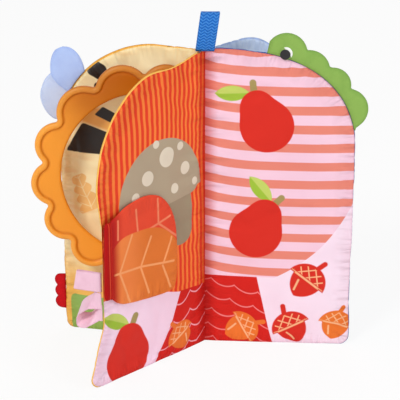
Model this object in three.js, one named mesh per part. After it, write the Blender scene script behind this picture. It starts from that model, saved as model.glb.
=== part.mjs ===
// A baby's soft book, standing open on its foot like a fan of leaves, in millimetres.
// +Z is up and the origin is the foot of the spine. Every leaf turns about the spine's axis.
// A leaf is drawn in its own plane: X runs from the spine to the free edge, Z is height and
// Y is the thickness, and its group is then turned about the spine.
import * as THREE from 'three';

// The whole book
const bookHeight = 220;
const leafWidth = 106;
const seamGap = 0.3;

// Angle of each leaf about the spine, counter-clockwise seen from above
const rightLeafDegrees = -3.6;
const leftLeafDegrees = 225;
const backCoverDegrees = 50;
const frontCoverDegrees = 167;
const maneFrameDegrees = 181;

// Spine and hinge tapes
const spineRadius = 4;
const spineCrownDrop = 2.4;
const spineSides = 24;
const tapeThickness = 0.6;
const tapeEndInset = 6;
const leafRoot = 10;

// Inner pages, with a wide arch, and covers, with a fuller one
const pageArchRun = 96;
const pageArchRise = 86.7;
const pageFootCorner = 8;
const coverArchRun = 73;
const coverArchRise = 70.4;
const coverFootCorner = 6;

// The left page's free edge: flared at its foot, drawn in where the flap and the tags are sewn on;
// and the dip of its top edge beside the spine
const pageFlare = 5.5;
const pageWaistDepth = 9;
const pageWaistTop = 116;
const pageWaistEase = 84;
const pageDipDepth = 6.3;
const pageDipPlace = 28;
const pageDipRun = 34;

// Cloth and padding of a leaf
const clothThickness = 0.8;
const paddingCrown = 2.65;
const paddingRun = 24;
const paddingRootRun = 22;
const paddingFootInset = 58;
const paddingTopInset = 88;
const panelInsetShares = [0, 0.125, 0.34, 0.6, 1];
const waddingFirstRing = 2;

// Moulded frame page: a scalloped ring with a window, open towards the spine
const frameCentreX = 41.2;
const frameCentreDrop = 91.2;
const frameValleyRadius = 72;
const frameLobeRise = 9.5;
const frameBandWidth = 12;
const frameCentreHeight = bookHeight - frameCentreDrop;
const frameWindowRadius = frameValleyRadius - frameBandWidth;
const frameCrestRadius = frameValleyRadius + frameLobeRise;
const frameValleyFillet = 2;
const frameHalfThickness = 2.2;
const frameBeadRise = 0.5;
const frameBeadWidth = 4.6;
const frameGrooveWidth = 1.6;
const frameEdgeRound = 1.1;
const frameRootRun = 16;
const frameRootShare = 0.28;
const frameValleyDegrees = [116, 89.7, 61.6, 32.9, 7.6, -17.4, -41.2, -66, -91, -116];
const frameLobeSteps = 8;
const frameFilletSteps = 2;

// Half thickness of the frame's section as shares of the full one, and where along the bead it is met
const frameRimShare = 0.45;
const frameRoundShares = [0.5, 0.85];
const frameCrestShare = 0.4;
const frameSlopeShares = [0.75, 0.93];
const frameGrooveShare = 0.6;
const frameFieldShare = 0.72;
const frameWindowShare = 0.4;

// Flap on the left page
const flapWidth = 60;
const flapHeight = 76;
const flapFoot = 54;
const flapHingeInset = 10.5;
const flapLift = 0.3;
const flapCloth = 0.7;
const flapCrown = 0.25;
const flapHalfThickness = seamGap / 2 + flapCloth + flapCrown;
const flapPlane = seamGap / 2 + paddingCrown + clothThickness + flapLift + flapHalfThickness;
const flapPaddingRun = 8;
const flapRollRadius = 1.5;
const flapRollSides = 12;
const flapMiddleShares = [0.4, 0.6];
const flapInsetShares = [0, 0.4, 1];
const flapTopShares = [[0, 0.862], [0.117, 0.912], [0.228, 0.959], [0.36, 0.985], [0.51, 1], [0.645, 0.988],
  [0.76, 0.95], [0.855, 0.878], [0.93, 0.778], [0.975, 0.66], [0.992, 0.53]];
const flapFootShares = [[1, 0.41], [1, 0.16], [0.965, 0.043], [0.857, 0.002], [0.64, 0.005], [0.44, 0.018],
  [0.25, 0.036], [0.158, 0.052], [0.067, 0.09], [0, 0.142]];
const flapCurveSteps = 14;

// Ribbon tags on the left page's free edge
const ribbonThickness = 0.6;
const ribbonTurnDegrees = -65;
const ribbonFootOffset = 0.5;
const ribbonSeat = 1.3;
const ribbonRoundPower = 0.6;
const ribbonSidePower = 0.5;
const ribbonSteps = 20;
const lowerTagHeight = 58.5;
const lowerTagReach = 17;
const lowerTagWidth = 12;
const lowerTagFootSpread = 4.5;
const lowerTagSpread = 7.5;
const lowerTagSpreadShares = [0.08, 0.6];
const lowerTagTwistDegrees = 50;
const lowerTagTwistShares = [0.15, 0.5];
const lowerTagDroopShare = 0.45;
const tagClearance = 0.5;
const upperTagReach = 18.8;
const upperTagWidth = 14;
const upperTagBulge = 1.5;
const upperTagSlantShare = -0.2;
const upperTagHeight = lowerTagHeight + lowerTagFootSpread + lowerTagWidth / 2 + tagClearance
  + upperTagWidth / 2;

// The left page's waist starts below the lower tag's foot, so that the tag swings clear of the flare
const waistClearance = 4;
const pageWaistFoot = lowerTagHeight - lowerTagFootSpread - lowerTagWidth / 2 - waistClearance;

// Webbing loop on top of the spine
const loopWidth = 13;
const loopHeight = 24.5;
const loopThickness = 1.3;
const loopHalfOpening = 5.5;
const loopNeckGap = 0.2;
const loopNeck = (loopThickness + loopNeckGap) / 2;
const loopLeanDegrees = 8;
const loopFootDepth = 1.6;
const loopFootReach = Math.hypot(loopNeck + loopThickness / 2, loopFootDepth);
const loopHinge = bookHeight - spineCrownDrop + loopFootReach + seamGap / 2;
const loopRisePower = 0.75;
const loopSpreadPower = 0.5;
const loopSidePower = 0.55;
const loopSteps = 21;

// Felt wings on the front cover's arch: root angle on the arch, then the petal's own sizes
const feltThickness = 1.6;
const wingSeat = 0.9;
const wingLayerGap = 0.4;
const wingLayerOffset = (feltThickness + wingLayerGap) / 2;
const upperWing = { archDegrees: 35, reach: 24.5, width: 26, shift: 5 };
const lowerWing = { archDegrees: 19, reach: 20, width: 29, shift: 2.8 };
const petalRootShare = 0.89;
const petalPower = 2.6;
const petalSteps = 22;

// Felt comb on the front cover's free edge
const combFoot = 15;
const combBumpRadius = 5.4;
const combBumpPitch = 8.7;
const combBumpCount = 3;
const combBumpOut = 3.6;

// Felt head and back on the right page's arch: bumps as [degrees on the arch, distance out, radius]
const headBumps = [[63.65, 6.58, 14.3], [52.44, 3.99, 14.4], [41.15, 6.97, 12.6], [29.54, 4.81, 14.6]];
const headThickness = 2.5;
const headStartDegrees = 71;
const headEndDegrees = 19.5;
const edgingSteps = 56;
const eyeArchDegrees = 63.9;
const eyeOut = 6.83;
const eyeWhiteRadius = 4.4;
const eyeWhiteThickness = 0.5;
const pupilRadius = 3.5;
const pupilThickness = 0.5;
const pupilShift = 0.6;
const eyeSides = 24;

// Steps along the round and straight stretches of a leaf's outline
const footSteps = 4;
const cornerSteps = 3;
const freeEdgeSteps = 10;
const archSteps = 13;
const rootSteps = 6;

const cloth = (colour) => new THREE.MeshStandardMaterial({ color: colour, roughness: 0.85, metalness: 0 });
const satin = (colour) => new THREE.MeshStandardMaterial({ color: colour, roughness: 0.4, metalness: 0 });
const rubber = (colour) => new THREE.MeshStandardMaterial({ color: colour, roughness: 0.45, metalness: 0 });
const radians = THREE.MathUtils.degToRad;

// Turns a stack of rings, each with the same number of points, into one closed body. The sides
// whose numbers are in otherWay are split along their other diagonal.
function stackedBody(rings, otherWay = []) {
  const count = rings[0].length;
  const positions = rings.flat().flatMap((point) => [point.x, point.y, point.z]);
  const faces = [];
  for (let ring = 0; ring + 1 < rings.length; ring++) {
    for (let i = 0; i < count; i++) {
      const here = ring * count + i;
      const beside = ring * count + ((i + 1) % count);
      const sides = otherWay.includes(i)
        ? [here, beside, here + count, beside, beside + count, here + count]
        : [here, beside, beside + count, here, beside + count, here + count];
      faces.push(...sides);
    }
  }
  const lastStart = (rings.length - 1) * count;
  for (const [a, b, c] of capFaces(rings[0])) faces.push(a, c, b);
  for (const [a, b, c] of capFaces(rings.at(-1))) faces.push(lastStart + a, lastStart + b, lastStart + c);
  return closedGeometry(positions, faces);
}

// Triangles over a ring, wound the way the ring runs, seen along the axis that shows it widest.
function capFaces(ring) {
  const normal = new THREE.Vector3();
  ring.forEach((point, i) => normal.add(point.clone().cross(ring[(i + 1) % ring.length])));
  const sizes = [Math.abs(normal.x), Math.abs(normal.y), Math.abs(normal.z)];
  const dropped = sizes.indexOf(Math.max(...sizes));
  const [first, second] = [['y', 'z'], ['x', 'z'], ['x', 'y']][dropped];
  const flat = ring.map((point) => new THREE.Vector2(point[first], point[second]));
  const turn = Math.sign(THREE.ShapeUtils.area(flat));
  return THREE.ShapeUtils.triangulateShape(flat, []).map(([a, b, c]) => {
    const sameWay = Math.sign(THREE.ShapeUtils.area([flat[a], flat[b], flat[c]])) === turn;
    return sameWay ? [a, b, c] : [a, c, b];
  });
}

function closedGeometry(positions, faces) {
  let volume = 0;
  const corner = (index) => new THREE.Vector3().fromArray(positions, index * 3);
  for (let i = 0; i < faces.length; i += 3) {
    volume += corner(faces[i]).dot(corner(faces[i + 1]).cross(corner(faces[i + 2])));
  }
  if (volume < 0) faces.reverse();
  const geometry = new THREE.BufferGeometry();
  geometry.setAttribute('position', new THREE.Float32BufferAttribute(positions, 3));
  geometry.setIndex(faces);
  geometry.computeVertexNormals();
  return geometry;
}

function piece(name, geometry, material) {
  const mesh = new THREE.Mesh(geometry, material);
  mesh.name = name;
  return mesh;
}

// Splits a straight stretch; the far end is left to the next stretch.
function stretch(from, to, steps) {
  return Array.from({ length: steps }, (_, i) => from.clone().lerp(to, i / steps));
}

// How far a free edge is drawn in at a height: flared at the foot, deepest along its waist.
function waistAt(height, { waistDepth, flare }) {
  if (height < pageWaistFoot) return THREE.MathUtils.lerp(-flare, waistDepth, height / pageWaistFoot);
  return waistDepth * THREE.MathUtils.clamp(1 - (height - pageWaistTop) / pageWaistEase, 0, 1);
}

// How far the top edge dips at a distance from the spine.
function dipAt(x, { dipDepth }) {
  const off = THREE.MathUtils.clamp((x - pageDipPlace) / pageDipRun, -1, 1);
  return dipDepth * Math.cos((Math.PI / 2) * off) ** 2;
}

// Outline of a leaf: foot, rounded corner, free edge, arch, and the straight root back down.
function leafOutline(shape) {
  const { width, archRun, archRise, footCorner } = shape;
  const archX = width - archRun;
  const archFoot = bookHeight - archRise;
  const root = new THREE.Vector2(leafRoot, 0);
  const points = stretch(root, new THREE.Vector2(width - footCorner, 0), footSteps);
  for (let i = 0; i < cornerSteps; i++) {
    const turn = (Math.PI / 2) * (i / cornerSteps);
    const x = width - footCorner + footCorner * Math.sin(turn);
    const height = footCorner - footCorner * Math.cos(turn);
    points.push(new THREE.Vector2(x - waistAt(height, shape), height));
  }
  const freeEdge = stretch(
    new THREE.Vector2(width, footCorner), new THREE.Vector2(width, archFoot), freeEdgeSteps);
  for (const point of freeEdge) {
    point.x -= waistAt(point.y, shape);
    points.push(point);
  }
  const lastTurn = Math.acos(Math.max(leafRoot - archX, 0) / archRun);
  for (let i = 0; i <= archSteps; i++) {
    const turn = lastTurn * (i / archSteps);
    const x = archX + archRun * Math.cos(turn);
    const height = archFoot + archRise * Math.sin(turn);
    points.push(new THREE.Vector2(x - waistAt(height, shape), height - dipAt(x, shape)));
  }
  const top = new THREE.Vector2(leafRoot, points.at(-1).y);
  const rootLine = stretch(top, root, rootSteps);
  points.push(...(top.distanceTo(points.at(-1)) > seamGap ? rootLine : rootLine.slice(1)));
  return points;
}

// Height of the padding under the cloth: none at the seam, full past its run, less by the spine.
function paddingHeight(inset, x, { crown, run, rootRun }) {
  const rise = 1 - (1 - Math.min(inset / run, 1)) ** 2;
  const rootRise = rootRun ? THREE.MathUtils.clamp((x - leafRoot) / rootRun, 0, 1) : 1;
  return crown * rise * rootRise;
}

// One ring of a padded outline: each point moves by the inset towards the middle line.
function paddedRing(outline, middle, inset, heightAt) {
  return outline.map((point) => {
    const goal = new THREE.Vector3();
    middle.closestPointToPoint(new THREE.Vector3(point.x, 0, point.y), true, goal);
    const toward = goal.sub(new THREE.Vector3(point.x, 0, point.y)).setLength(inset);
    const x = point.x + toward.x;
    return new THREE.Vector3(x, heightAt(inset, x), point.y + toward.z);
  });
}

// A sewn cloth panel on one side of the seam plane, bulged over its padding.
function clothPanel(outline, middle, side, insetShares, padding, thickness) {
  const under = (inset, x) => side * (seamGap / 2 + paddingHeight(inset, x, padding));
  const over = (inset, x) => under(inset, x) + side * thickness;
  const insets = insetShares.map((share) => share * padding.run);
  const inner = insets.toReversed().map((inset) => paddedRing(outline, middle, inset, under));
  const outer = insets.map((inset) => paddedRing(outline, middle, inset, over));
  return stackedBody([...inner, ...outer]);
}

// The wadding between two panels, clear of both.
function waddingPad(outline, middle, padding) {
  const insets = panelInsetShares.slice(waddingFirstRing).map((share) => share * padding.run);
  const half = (inset, x) => paddingHeight(inset, x, padding) - seamGap / 2;
  const front = insets.toReversed().map((inset) => paddedRing(outline, middle, inset, (i, x) => -half(i, x)));
  const back = insets.map((inset) => paddedRing(outline, middle, inset, half));
  return stackedBody([...front, ...back]);
}

function hingeTape(foot, top) {
  const reach = leafRoot - seamGap - (spineRadius + seamGap);
  const tape = new THREE.BoxGeometry(reach, tapeThickness, top - foot);
  tape.translate(spineRadius + seamGap + reach / 2, 0, (foot + top) / 2);
  return tape;
}

// A padded leaf: panel on each side, wadding between them, and the tape to the spine.
function paddedLeaf(name, shape, colours) {
  const outline = leafOutline(shape);
  const middleX = (leafRoot + shape.width) / 2;
  const middle = new THREE.Line3(
    new THREE.Vector3(middleX, 0, paddingFootInset),
    new THREE.Vector3(middleX, 0, bookHeight - paddingTopInset));
  const padding = { crown: paddingCrown, run: paddingRun, rootRun: paddingRootRun };
  const panel = (side) => clothPanel(outline, middle, side, panelInsetShares, padding, clothThickness);
  return [
    piece(`${name}_front_cloth`, panel(shape.frontSide), cloth(colours.front)),
    piece(`${name}_back_cloth`, panel(-shape.frontSide), cloth(colours.back)),
    piece(`${name}_wadding`, waddingPad(outline, middle, padding), cloth(0xf4f0e6)),
    piece(`${name}_hinge_tape`, hingeTape(tapeEndInset, bookHeight - tapeEndInset), cloth(colours.back)),
  ];
}

// Crossing of two circles that lies farther from the frame's centre.
function outerCrossing(centreA, radiusA, centreB, radiusB, ringCentre) {
  const between = centreB.clone().sub(centreA);
  const distance = between.length();
  const along = (distance ** 2 + radiusA ** 2 - radiusB ** 2) / (2 * distance);
  const across = Math.sqrt(Math.max(radiusA ** 2 - along ** 2, 0));
  const unit = between.clone().normalize();
  const side = new THREE.Vector2(-unit.y, unit.x);
  const foot = centreA.clone().addScaledVector(unit, along);
  const options = [foot.clone().addScaledVector(side, across), foot.clone().addScaledVector(side, -across)];
  return options.sort((a, b) => b.distanceTo(ringCentre) - a.distanceTo(ringCentre))[0];
}

// The frame's scalloped edge, from its upper root round to its lower root. Each place has its
// point and the direction into the material.
function scallopedEdge() {
  const centre = new THREE.Vector2(frameCentreX, frameCentreHeight);
  const lobes = frameValleyDegrees.slice(1).map((valley, i) => {
    const middle = radians((valley + frameValleyDegrees[i]) / 2);
    const half = radians((frameValleyDegrees[i] - valley) / 2);
    const out = (frameCrestRadius ** 2 - frameValleyRadius ** 2)
      / (2 * (frameCrestRadius - frameValleyRadius * Math.cos(half)));
    const direction = new THREE.Vector2(Math.cos(middle), Math.sin(middle));
    return { centre: centre.clone().addScaledVector(direction, out), radius: frameCrestRadius - out, middle };
  });
  const fillets = lobes.slice(1).map((lobe, i) => outerCrossing(
    lobes[i].centre, lobes[i].radius + frameValleyFillet,
    lobe.centre, lobe.radius + frameValleyFillet, centre));
  const rootTurn = (lobe) => Math.acos(THREE.MathUtils.clamp((leafRoot - lobe.centre.x) / lobe.radius, -1, 1));
  const angleTo = (from, to) => Math.atan2(to.y - from.y, to.x - from.x);
  const nearTurn = (angle, reference) => angle - 2 * Math.PI * Math.round((angle - reference) / (2 * Math.PI));
  const places = [];
  lobes.forEach((lobe, i) => {
    const first = i === 0;
    const last = i === lobes.length - 1;
    const start = first ? rootTurn(lobe) : nearTurn(angleTo(lobe.centre, fillets[i - 1]), lobe.middle);
    const end = last ? -rootTurn(lobe) : nearTurn(angleTo(lobe.centre, fillets[i]), lobe.middle);
    for (let step = 0; step <= frameLobeSteps; step++) {
      const turn = THREE.MathUtils.lerp(start, end, step / frameLobeSteps);
      const out = new THREE.Vector2(Math.cos(turn), Math.sin(turn));
      const atRoot = (first && step === 0) || (last && step === frameLobeSteps);
      const inward = atRoot ? new THREE.Vector2(0, first ? -1 : 1) : out.clone().negate();
      places.push({ point: lobe.centre.clone().addScaledVector(out, lobe.radius), inward, atRoot });
    }
    if (last) return;
    const from = angleTo(fillets[i], lobe.centre);
    const to = nearTurn(angleTo(fillets[i], lobes[i + 1].centre), from + Math.PI / 2);
    for (let step = 1; step < frameFilletSteps; step++) {
      const turn = THREE.MathUtils.lerp(from, to, step / frameFilletSteps);
      const inward = new THREE.Vector2(Math.cos(turn), Math.sin(turn));
      const point = fillets[i].clone().addScaledVector(inward, frameValleyFillet);
      places.push({ point, inward, atRoot: false });
    }
  });
  return places;
}

// Cross-section of the frame at one place on its edge: a rounded rim, a raised bead, a groove
// and a flat field on both faces, down to the plain edge of the window.
function frameSection({ point, inward, atRoot }) {
  const centre = new THREE.Vector2(frameCentreX, frameCentreHeight);
  const fieldInset = frameBeadWidth + frameGrooveWidth;
  const field = point.clone().addScaledVector(inward, fieldInset);
  const window = centre.clone().addScaledVector(field.clone().sub(centre).normalize(), frameWindowRadius);
  if (atRoot) {
    const rise = Math.sqrt(Math.max(frameWindowRadius ** 2 - (frameCentreX - leafRoot) ** 2, 0));
    window.set(leafRoot, frameCentreHeight + rise * Math.sign(point.y - frameCentreHeight));
  }
  const outward = field.clone().sub(window).normalize();
  const fromRim = (distance) => point.clone().addScaledVector(inward, distance);
  const fromWindow = (distance) => window.clone().addScaledVector(outward, distance);
  const bead = frameHalfThickness + frameBeadRise;
  const profile = [
    [fromRim(0), frameHalfThickness * frameRimShare],
    [fromRim(frameEdgeRound * frameRoundShares[0]), frameHalfThickness * frameRoundShares[1]],
    [fromRim(frameBeadWidth * frameCrestShare), bead],
    [fromRim(frameBeadWidth * frameSlopeShares[0]), bead * frameSlopeShares[1]],
    [fromRim(frameBeadWidth), frameHalfThickness * frameGrooveShare],
    [fromRim(fieldInset), frameHalfThickness * frameFieldShare],
    [fromWindow(frameEdgeRound), frameHalfThickness * frameFieldShare],
    [fromWindow(0), frameHalfThickness * frameWindowShare],
  ];
  const rootRise = (x) => THREE.MathUtils.clamp(
    frameRootShare + (1 - frameRootShare) * (x - leafRoot) / frameRootRun, frameRootShare, 1);
  const face = (side) => profile.map(([place, half]) =>
    new THREE.Vector3(place.x, side * half * rootRise(place.x), place.y));
  return [...face(1), ...face(-1).reverse()];
}

function maneFrame() {
  const places = scallopedEdge();
  const body = stackedBody(places.map(frameSection));
  const rootTape = (side) => {
    const end = side > 0 ? places[0].point.y : places.at(-1).point.y;
    const windowRise = Math.sqrt(Math.max(frameWindowRadius ** 2 - (frameCentreX - leafRoot) ** 2, 0));
    const window = frameCentreHeight + side * windowRise;
    return hingeTape(Math.min(end, window) + seamGap, Math.max(end, window) - seamGap);
  };
  return [
    piece('mane_frame', body, rubber(0xf79a1d)),
    piece('mane_upper_tape', rootTape(1), cloth(0xd97a12)),
    piece('mane_lower_tape', rootTape(-1), cloth(0xd97a12)),
  ];
}

// A flat felt or moulded shape cut from its outline, straight through its thickness.
function flatCut(outline, thickness, middleY) {
  const ring = (y) => outline.map((point) => new THREE.Vector3(point.x, y, point.y));
  return stackedBody([ring(middleY - thickness / 2), ring(middleY + thickness / 2)]);
}

// The flap's outline, from its rolled hinge edge across to the spine side.
function flapOutline(hingeX) {
  const place = ([across, up]) => new THREE.Vector2(hingeX - across * flapWidth, flapFoot + up * flapHeight);
  const top = new THREE.SplineCurve(flapTopShares.map(place)).getPoints(flapCurveSteps);
  const foot = new THREE.SplineCurve(flapFootShares.map(place)).getPoints(flapCurveSteps);
  return [...top, ...foot];
}

function leafFlap() {
  const hingeX = leafWidth - flapHingeInset;
  const panelEdge = hingeX - flapRollRadius - seamGap;
  const outline = flapOutline(panelEdge);
  const middleX = panelEdge - flapWidth / 2;
  const [lowest, highest] = flapMiddleShares.map((share) => flapFoot + flapHeight * share);
  const middle = new THREE.Line3(
    new THREE.Vector3(middleX, 0, lowest), new THREE.Vector3(middleX, 0, highest));
  const padding = { crown: flapCrown, run: flapPaddingRun, rootRun: 0 };
  const panel = (side) => {
    const geometry = clothPanel(outline, middle, side, flapInsetShares, padding, flapCloth);
    geometry.translate(0, flapPlane, 0);
    return geometry;
  };
  const rollFoot = flapFoot + flapFootShares.at(-1)[1] * flapHeight;
  const rollTop = flapFoot + flapTopShares[0][1] * flapHeight;
  const roll = new THREE.CylinderGeometry(
    flapRollRadius, flapRollRadius, rollTop - rollFoot, flapRollSides);
  roll.rotateX(Math.PI / 2);
  roll.translate(hingeX, flapPlane, (rollFoot + rollTop) / 2);
  return [
    piece('leaf_flap_front_cloth', panel(1), cloth(0xe0702c)),
    piece('leaf_flap_back_cloth', panel(-1), cloth(0xd8341c)),
    piece('leaf_flap_roll', roll, cloth(0xc72a18)),
  ];
}

// A band with its width turned along the way: each station has a place and a width direction,
// which need not be square to the way.
// Its two broad faces are split along the same diagonals, so that a twist never makes them meet.
function band(stations, width, thickness) {
  const corners = [[1, 1], [1, -1], [-1, -1], [-1, 1]];
  const upperFace = corners.length - 1;
  const path = stations.map((station) => station.place);
  const rings = stations.map(({ place, across }, i) => {
    const before = path[Math.max(i - 1, 0)];
    const after = path[Math.min(i + 1, path.length - 1)];
    const along = after.clone().sub(before).normalize();
    const wide = across.clone().setLength(width / 2);
    const thick = wide.clone().cross(along).setLength(thickness / 2);
    return corners.map(([side, face]) =>
      place.clone().addScaledVector(wide, side).addScaledVector(thick, face));
  });
  return stackedBody(rings, [upperFace]);
}

// A ribbon folded back on itself and sewn in at its foot; its fold leans across its width.
function upperTag() {
  const stations = Array.from({ length: ribbonSteps + 1 }, (_, i) => {
    const turn = Math.PI * (i / ribbonSteps);
    const open = Math.sin(turn);
    const side = Math.cos(turn);
    const bulge = ribbonFootOffset + (upperTagBulge - ribbonFootOffset) * open;
    const y = bulge * Math.sign(side) * Math.abs(side) ** ribbonSidePower;
    const out = open ** ribbonRoundPower;
    return {
      place: new THREE.Vector3(upperTagReach * out, y, 0),
      across: new THREE.Vector3(upperTagSlantShare * out, 0, 1),
    };
  });
  return band(stations, upperTagWidth, ribbonThickness);
}

// A ribbon loop whose two ends are sewn in one above the other. It twists as it leaves the seam,
// so that its eye looks forward, and its far end droops.
function lowerTag() {
  const stations = Array.from({ length: ribbonSteps + 1 }, (_, i) => {
    const turn = Math.PI * (i / ribbonSteps);
    const open = Math.sin(turn);
    const side = Math.cos(turn);
    const round = Math.sign(side) * Math.abs(side) ** ribbonRoundPower;
    const widen = THREE.MathUtils.smoothstep(open, ...lowerTagSpreadShares);
    const spread = THREE.MathUtils.lerp(lowerTagFootSpread, lowerTagSpread, widen);
    const twist = radians(lowerTagTwistDegrees) * THREE.MathUtils.smoothstep(open, ...lowerTagTwistShares);
    const place = new THREE.Vector3(
      lowerTagReach * open,
      ribbonFootOffset * round,
      spread * round - lowerTagDroopShare * lowerTagReach * open * widen);
    return { place, across: new THREE.Vector3(0, -Math.sin(twist), Math.cos(twist)) };
  });
  return band(stations, lowerTagWidth, ribbonThickness);
}

function ribbonTag(name, geometry, height) {
  const edgeX = leafWidth - waistAt(height, leftShape);
  const group = new THREE.Group();
  group.position.set(edgeX + ribbonSeat, 0, height);
  group.rotation.z = radians(ribbonTurnDegrees);
  group.add(piece(name, geometry, satin(0xf2c4dc)));
  return group;
}

// The webbing loop stands on the spine: up one side, over, and down the other. It swings about
// a line just above the spine, and its foot reaches a little below that line.
function hangLoop() {
  const centre = Array.from({ length: loopSteps + 1 }, (_, i) => {
    const turn = Math.PI * (i / loopSteps);
    const up = Math.sin(turn) ** loopRisePower;
    const side = Math.cos(turn);
    const spread = loopNeck + (loopHalfOpening - loopNeck) * Math.sin(turn) ** loopSpreadPower;
    const y = spread * Math.sign(side) * Math.abs(side) ** loopSidePower;
    return new THREE.Vector3(0, y, (loopHeight + loopFootDepth) * up - loopFootDepth);
  });
  const stations = centre.map((place) => ({ place, across: new THREE.Vector3(1, 0, 0) }));
  const geometry = band(stations, loopWidth, loopThickness);
  const lean = Math.tan(radians(loopLeanDegrees));
  geometry.applyMatrix4(new THREE.Matrix4().makeShear(0, 0, 0, 0, lean, 0));
  geometry.translate(0, 0, loopHinge);
  return piece('hang_loop', geometry, cloth(0x1d7fc4));
}

// A point and outward direction on a cover's or page's arch.
function archPlace({ width, archRun, archRise }, degrees) {
  const turn = radians(degrees);
  const centre = new THREE.Vector2(width - archRun, bookHeight - archRise);
  const point = centre.clone().add(new THREE.Vector2(archRun * Math.cos(turn), archRise * Math.sin(turn)));
  const out = new THREE.Vector2(Math.cos(turn) / archRun, Math.sin(turn) / archRise).normalize();
  return { point, out };
}

// A felt wing: a rounded petal cut straight at its root, which is sewn along the arch.
function feltWing(name, wing, middleY, colour) {
  const { point, out } = archPlace(coverShape, wing.archDegrees);
  const along = new THREE.Vector2(-out.y, out.x);
  const root = point.clone().addScaledVector(out, wingSeat);
  const halfOut = wing.reach / (1 + petalRootShare);
  const centreOut = halfOut * petalRootShare;
  const cutTurn = Math.atan2((1 - petalRootShare ** petalPower) ** (1 / petalPower), -petalRootShare);
  const outline = Array.from({ length: petalSteps + 1 }, (_, i) => {
    const turn = THREE.MathUtils.lerp(-cutTurn, cutTurn, i / petalSteps);
    const scale = (Math.abs(Math.cos(turn)) ** petalPower + Math.abs(Math.sin(turn)) ** petalPower)
      ** (-1 / petalPower);
    const outDistance = Math.max(centreOut + halfOut * scale * Math.cos(turn), 0);
    const alongDistance = wing.shift + (wing.width / 2) * scale * Math.sin(turn);
    return root.clone().addScaledVector(out, outDistance).addScaledVector(along, alongDistance);
  });
  return piece(name, flatCut(outline, feltThickness, middleY), cloth(colour));
}

// Farthest point where a ray from the edge leaves any of the bumps.
function bumpReach(point, out, bumps) {
  let reach = 0;
  for (const [x, height, radius] of bumps) {
    const toCentre = new THREE.Vector2(x, height).sub(point);
    const along = toCentre.dot(out);
    const clear = radius ** 2 - (toCentre.lengthSq() - along ** 2);
    if (clear > 0) reach = Math.max(reach, along + Math.sqrt(clear));
  }
  return reach;
}

// A felt edging: it follows an edge on its inner side and a row of round bumps on its outer side.
function feltEdging(places, bumps, thickness) {
  const inner = places.map(({ point, out }) => point.clone().addScaledVector(out, seamGap));
  const outer = places.map(({ point, out }) => {
    const reach = Math.max(bumpReach(point, out, bumps), feltThickness);
    return point.clone().addScaledVector(out, reach);
  });
  return flatCut([...inner, ...outer.reverse()], thickness, 0);
}

function feltHead() {
  const onPage = (degrees, distance) => {
    const { point, out } = archPlace(pageShape, degrees);
    return point.addScaledVector(out, distance);
  };
  const bumps = headBumps.map(([degrees, distance, radius]) => {
    const centre = onPage(degrees, distance);
    return [centre.x, centre.y, radius];
  });
  const eye = onPage(eyeArchDegrees, eyeOut);
  const places = Array.from({ length: edgingSteps + 1 }, (_, i) =>
    archPlace(pageShape, THREE.MathUtils.lerp(headStartDegrees, headEndDegrees, i / edgingSteps)));
  const disc = (radius, thickness, x, height, y) => {
    const round = new THREE.CylinderGeometry(radius, radius, thickness, eyeSides);
    round.translate(x, y, height);
    return round;
  };
  const whiteY = -headThickness / 2 - seamGap - eyeWhiteThickness / 2;
  const pupilY = whiteY - eyeWhiteThickness / 2 - seamGap - pupilThickness / 2;
  return [
    piece('green_head', feltEdging(places, bumps, headThickness), cloth(0x8cbe5a)),
    piece('eye_white', disc(eyeWhiteRadius, eyeWhiteThickness, eye.x, eye.y, whiteY), cloth(0xf7f7f2)),
    piece('eye_pupil', disc(pupilRadius, pupilThickness, eye.x - pupilShift, eye.y - pupilShift, pupilY),
      cloth(0x1b1716)),
  ];
}

function feltComb() {
  const bumps = Array.from({ length: combBumpCount }, (_, i) =>
    [leafWidth + combBumpOut, combFoot + combBumpRadius + i * combBumpPitch, combBumpRadius]);
  const top = combFoot + 2 * combBumpRadius + (combBumpCount - 1) * combBumpPitch;
  const places = Array.from({ length: edgingSteps / 2 + 1 }, (_, i) => ({
    point: new THREE.Vector2(leafWidth, THREE.MathUtils.lerp(top, combFoot, i / (edgingSteps / 2))),
    out: new THREE.Vector2(1, 0),
  }));
  return piece('red_comb', feltEdging(places, bumps, feltThickness), cloth(0xd8151c));
}

function spineCore() {
  const core = new THREE.CylinderGeometry(
    spineRadius, spineRadius, bookHeight - spineCrownDrop, spineSides);
  core.rotateX(Math.PI / 2);
  core.translate(0, 0, (bookHeight - spineCrownDrop) / 2);
  return piece('spine_core', core, cloth(0xb8241c));
}

function turned(degrees, ...members) {
  const group = new THREE.Group();
  group.rotation.z = radians(degrees);
  group.add(...members);
  return group;
}

const pageShape = {
  width: leafWidth, archRun: pageArchRun, archRise: pageArchRise, footCorner: pageFootCorner,
  waistDepth: 0, flare: 0, dipDepth: 0,
};
const leftShape = { ...pageShape, waistDepth: pageWaistDepth, flare: pageFlare, dipDepth: pageDipDepth };
const coverShape = {
  width: leafWidth, archRun: coverArchRun, archRise: coverArchRise, footCorner: coverFootCorner,
  waistDepth: 0, flare: 0, dipDepth: 0,
};

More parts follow.
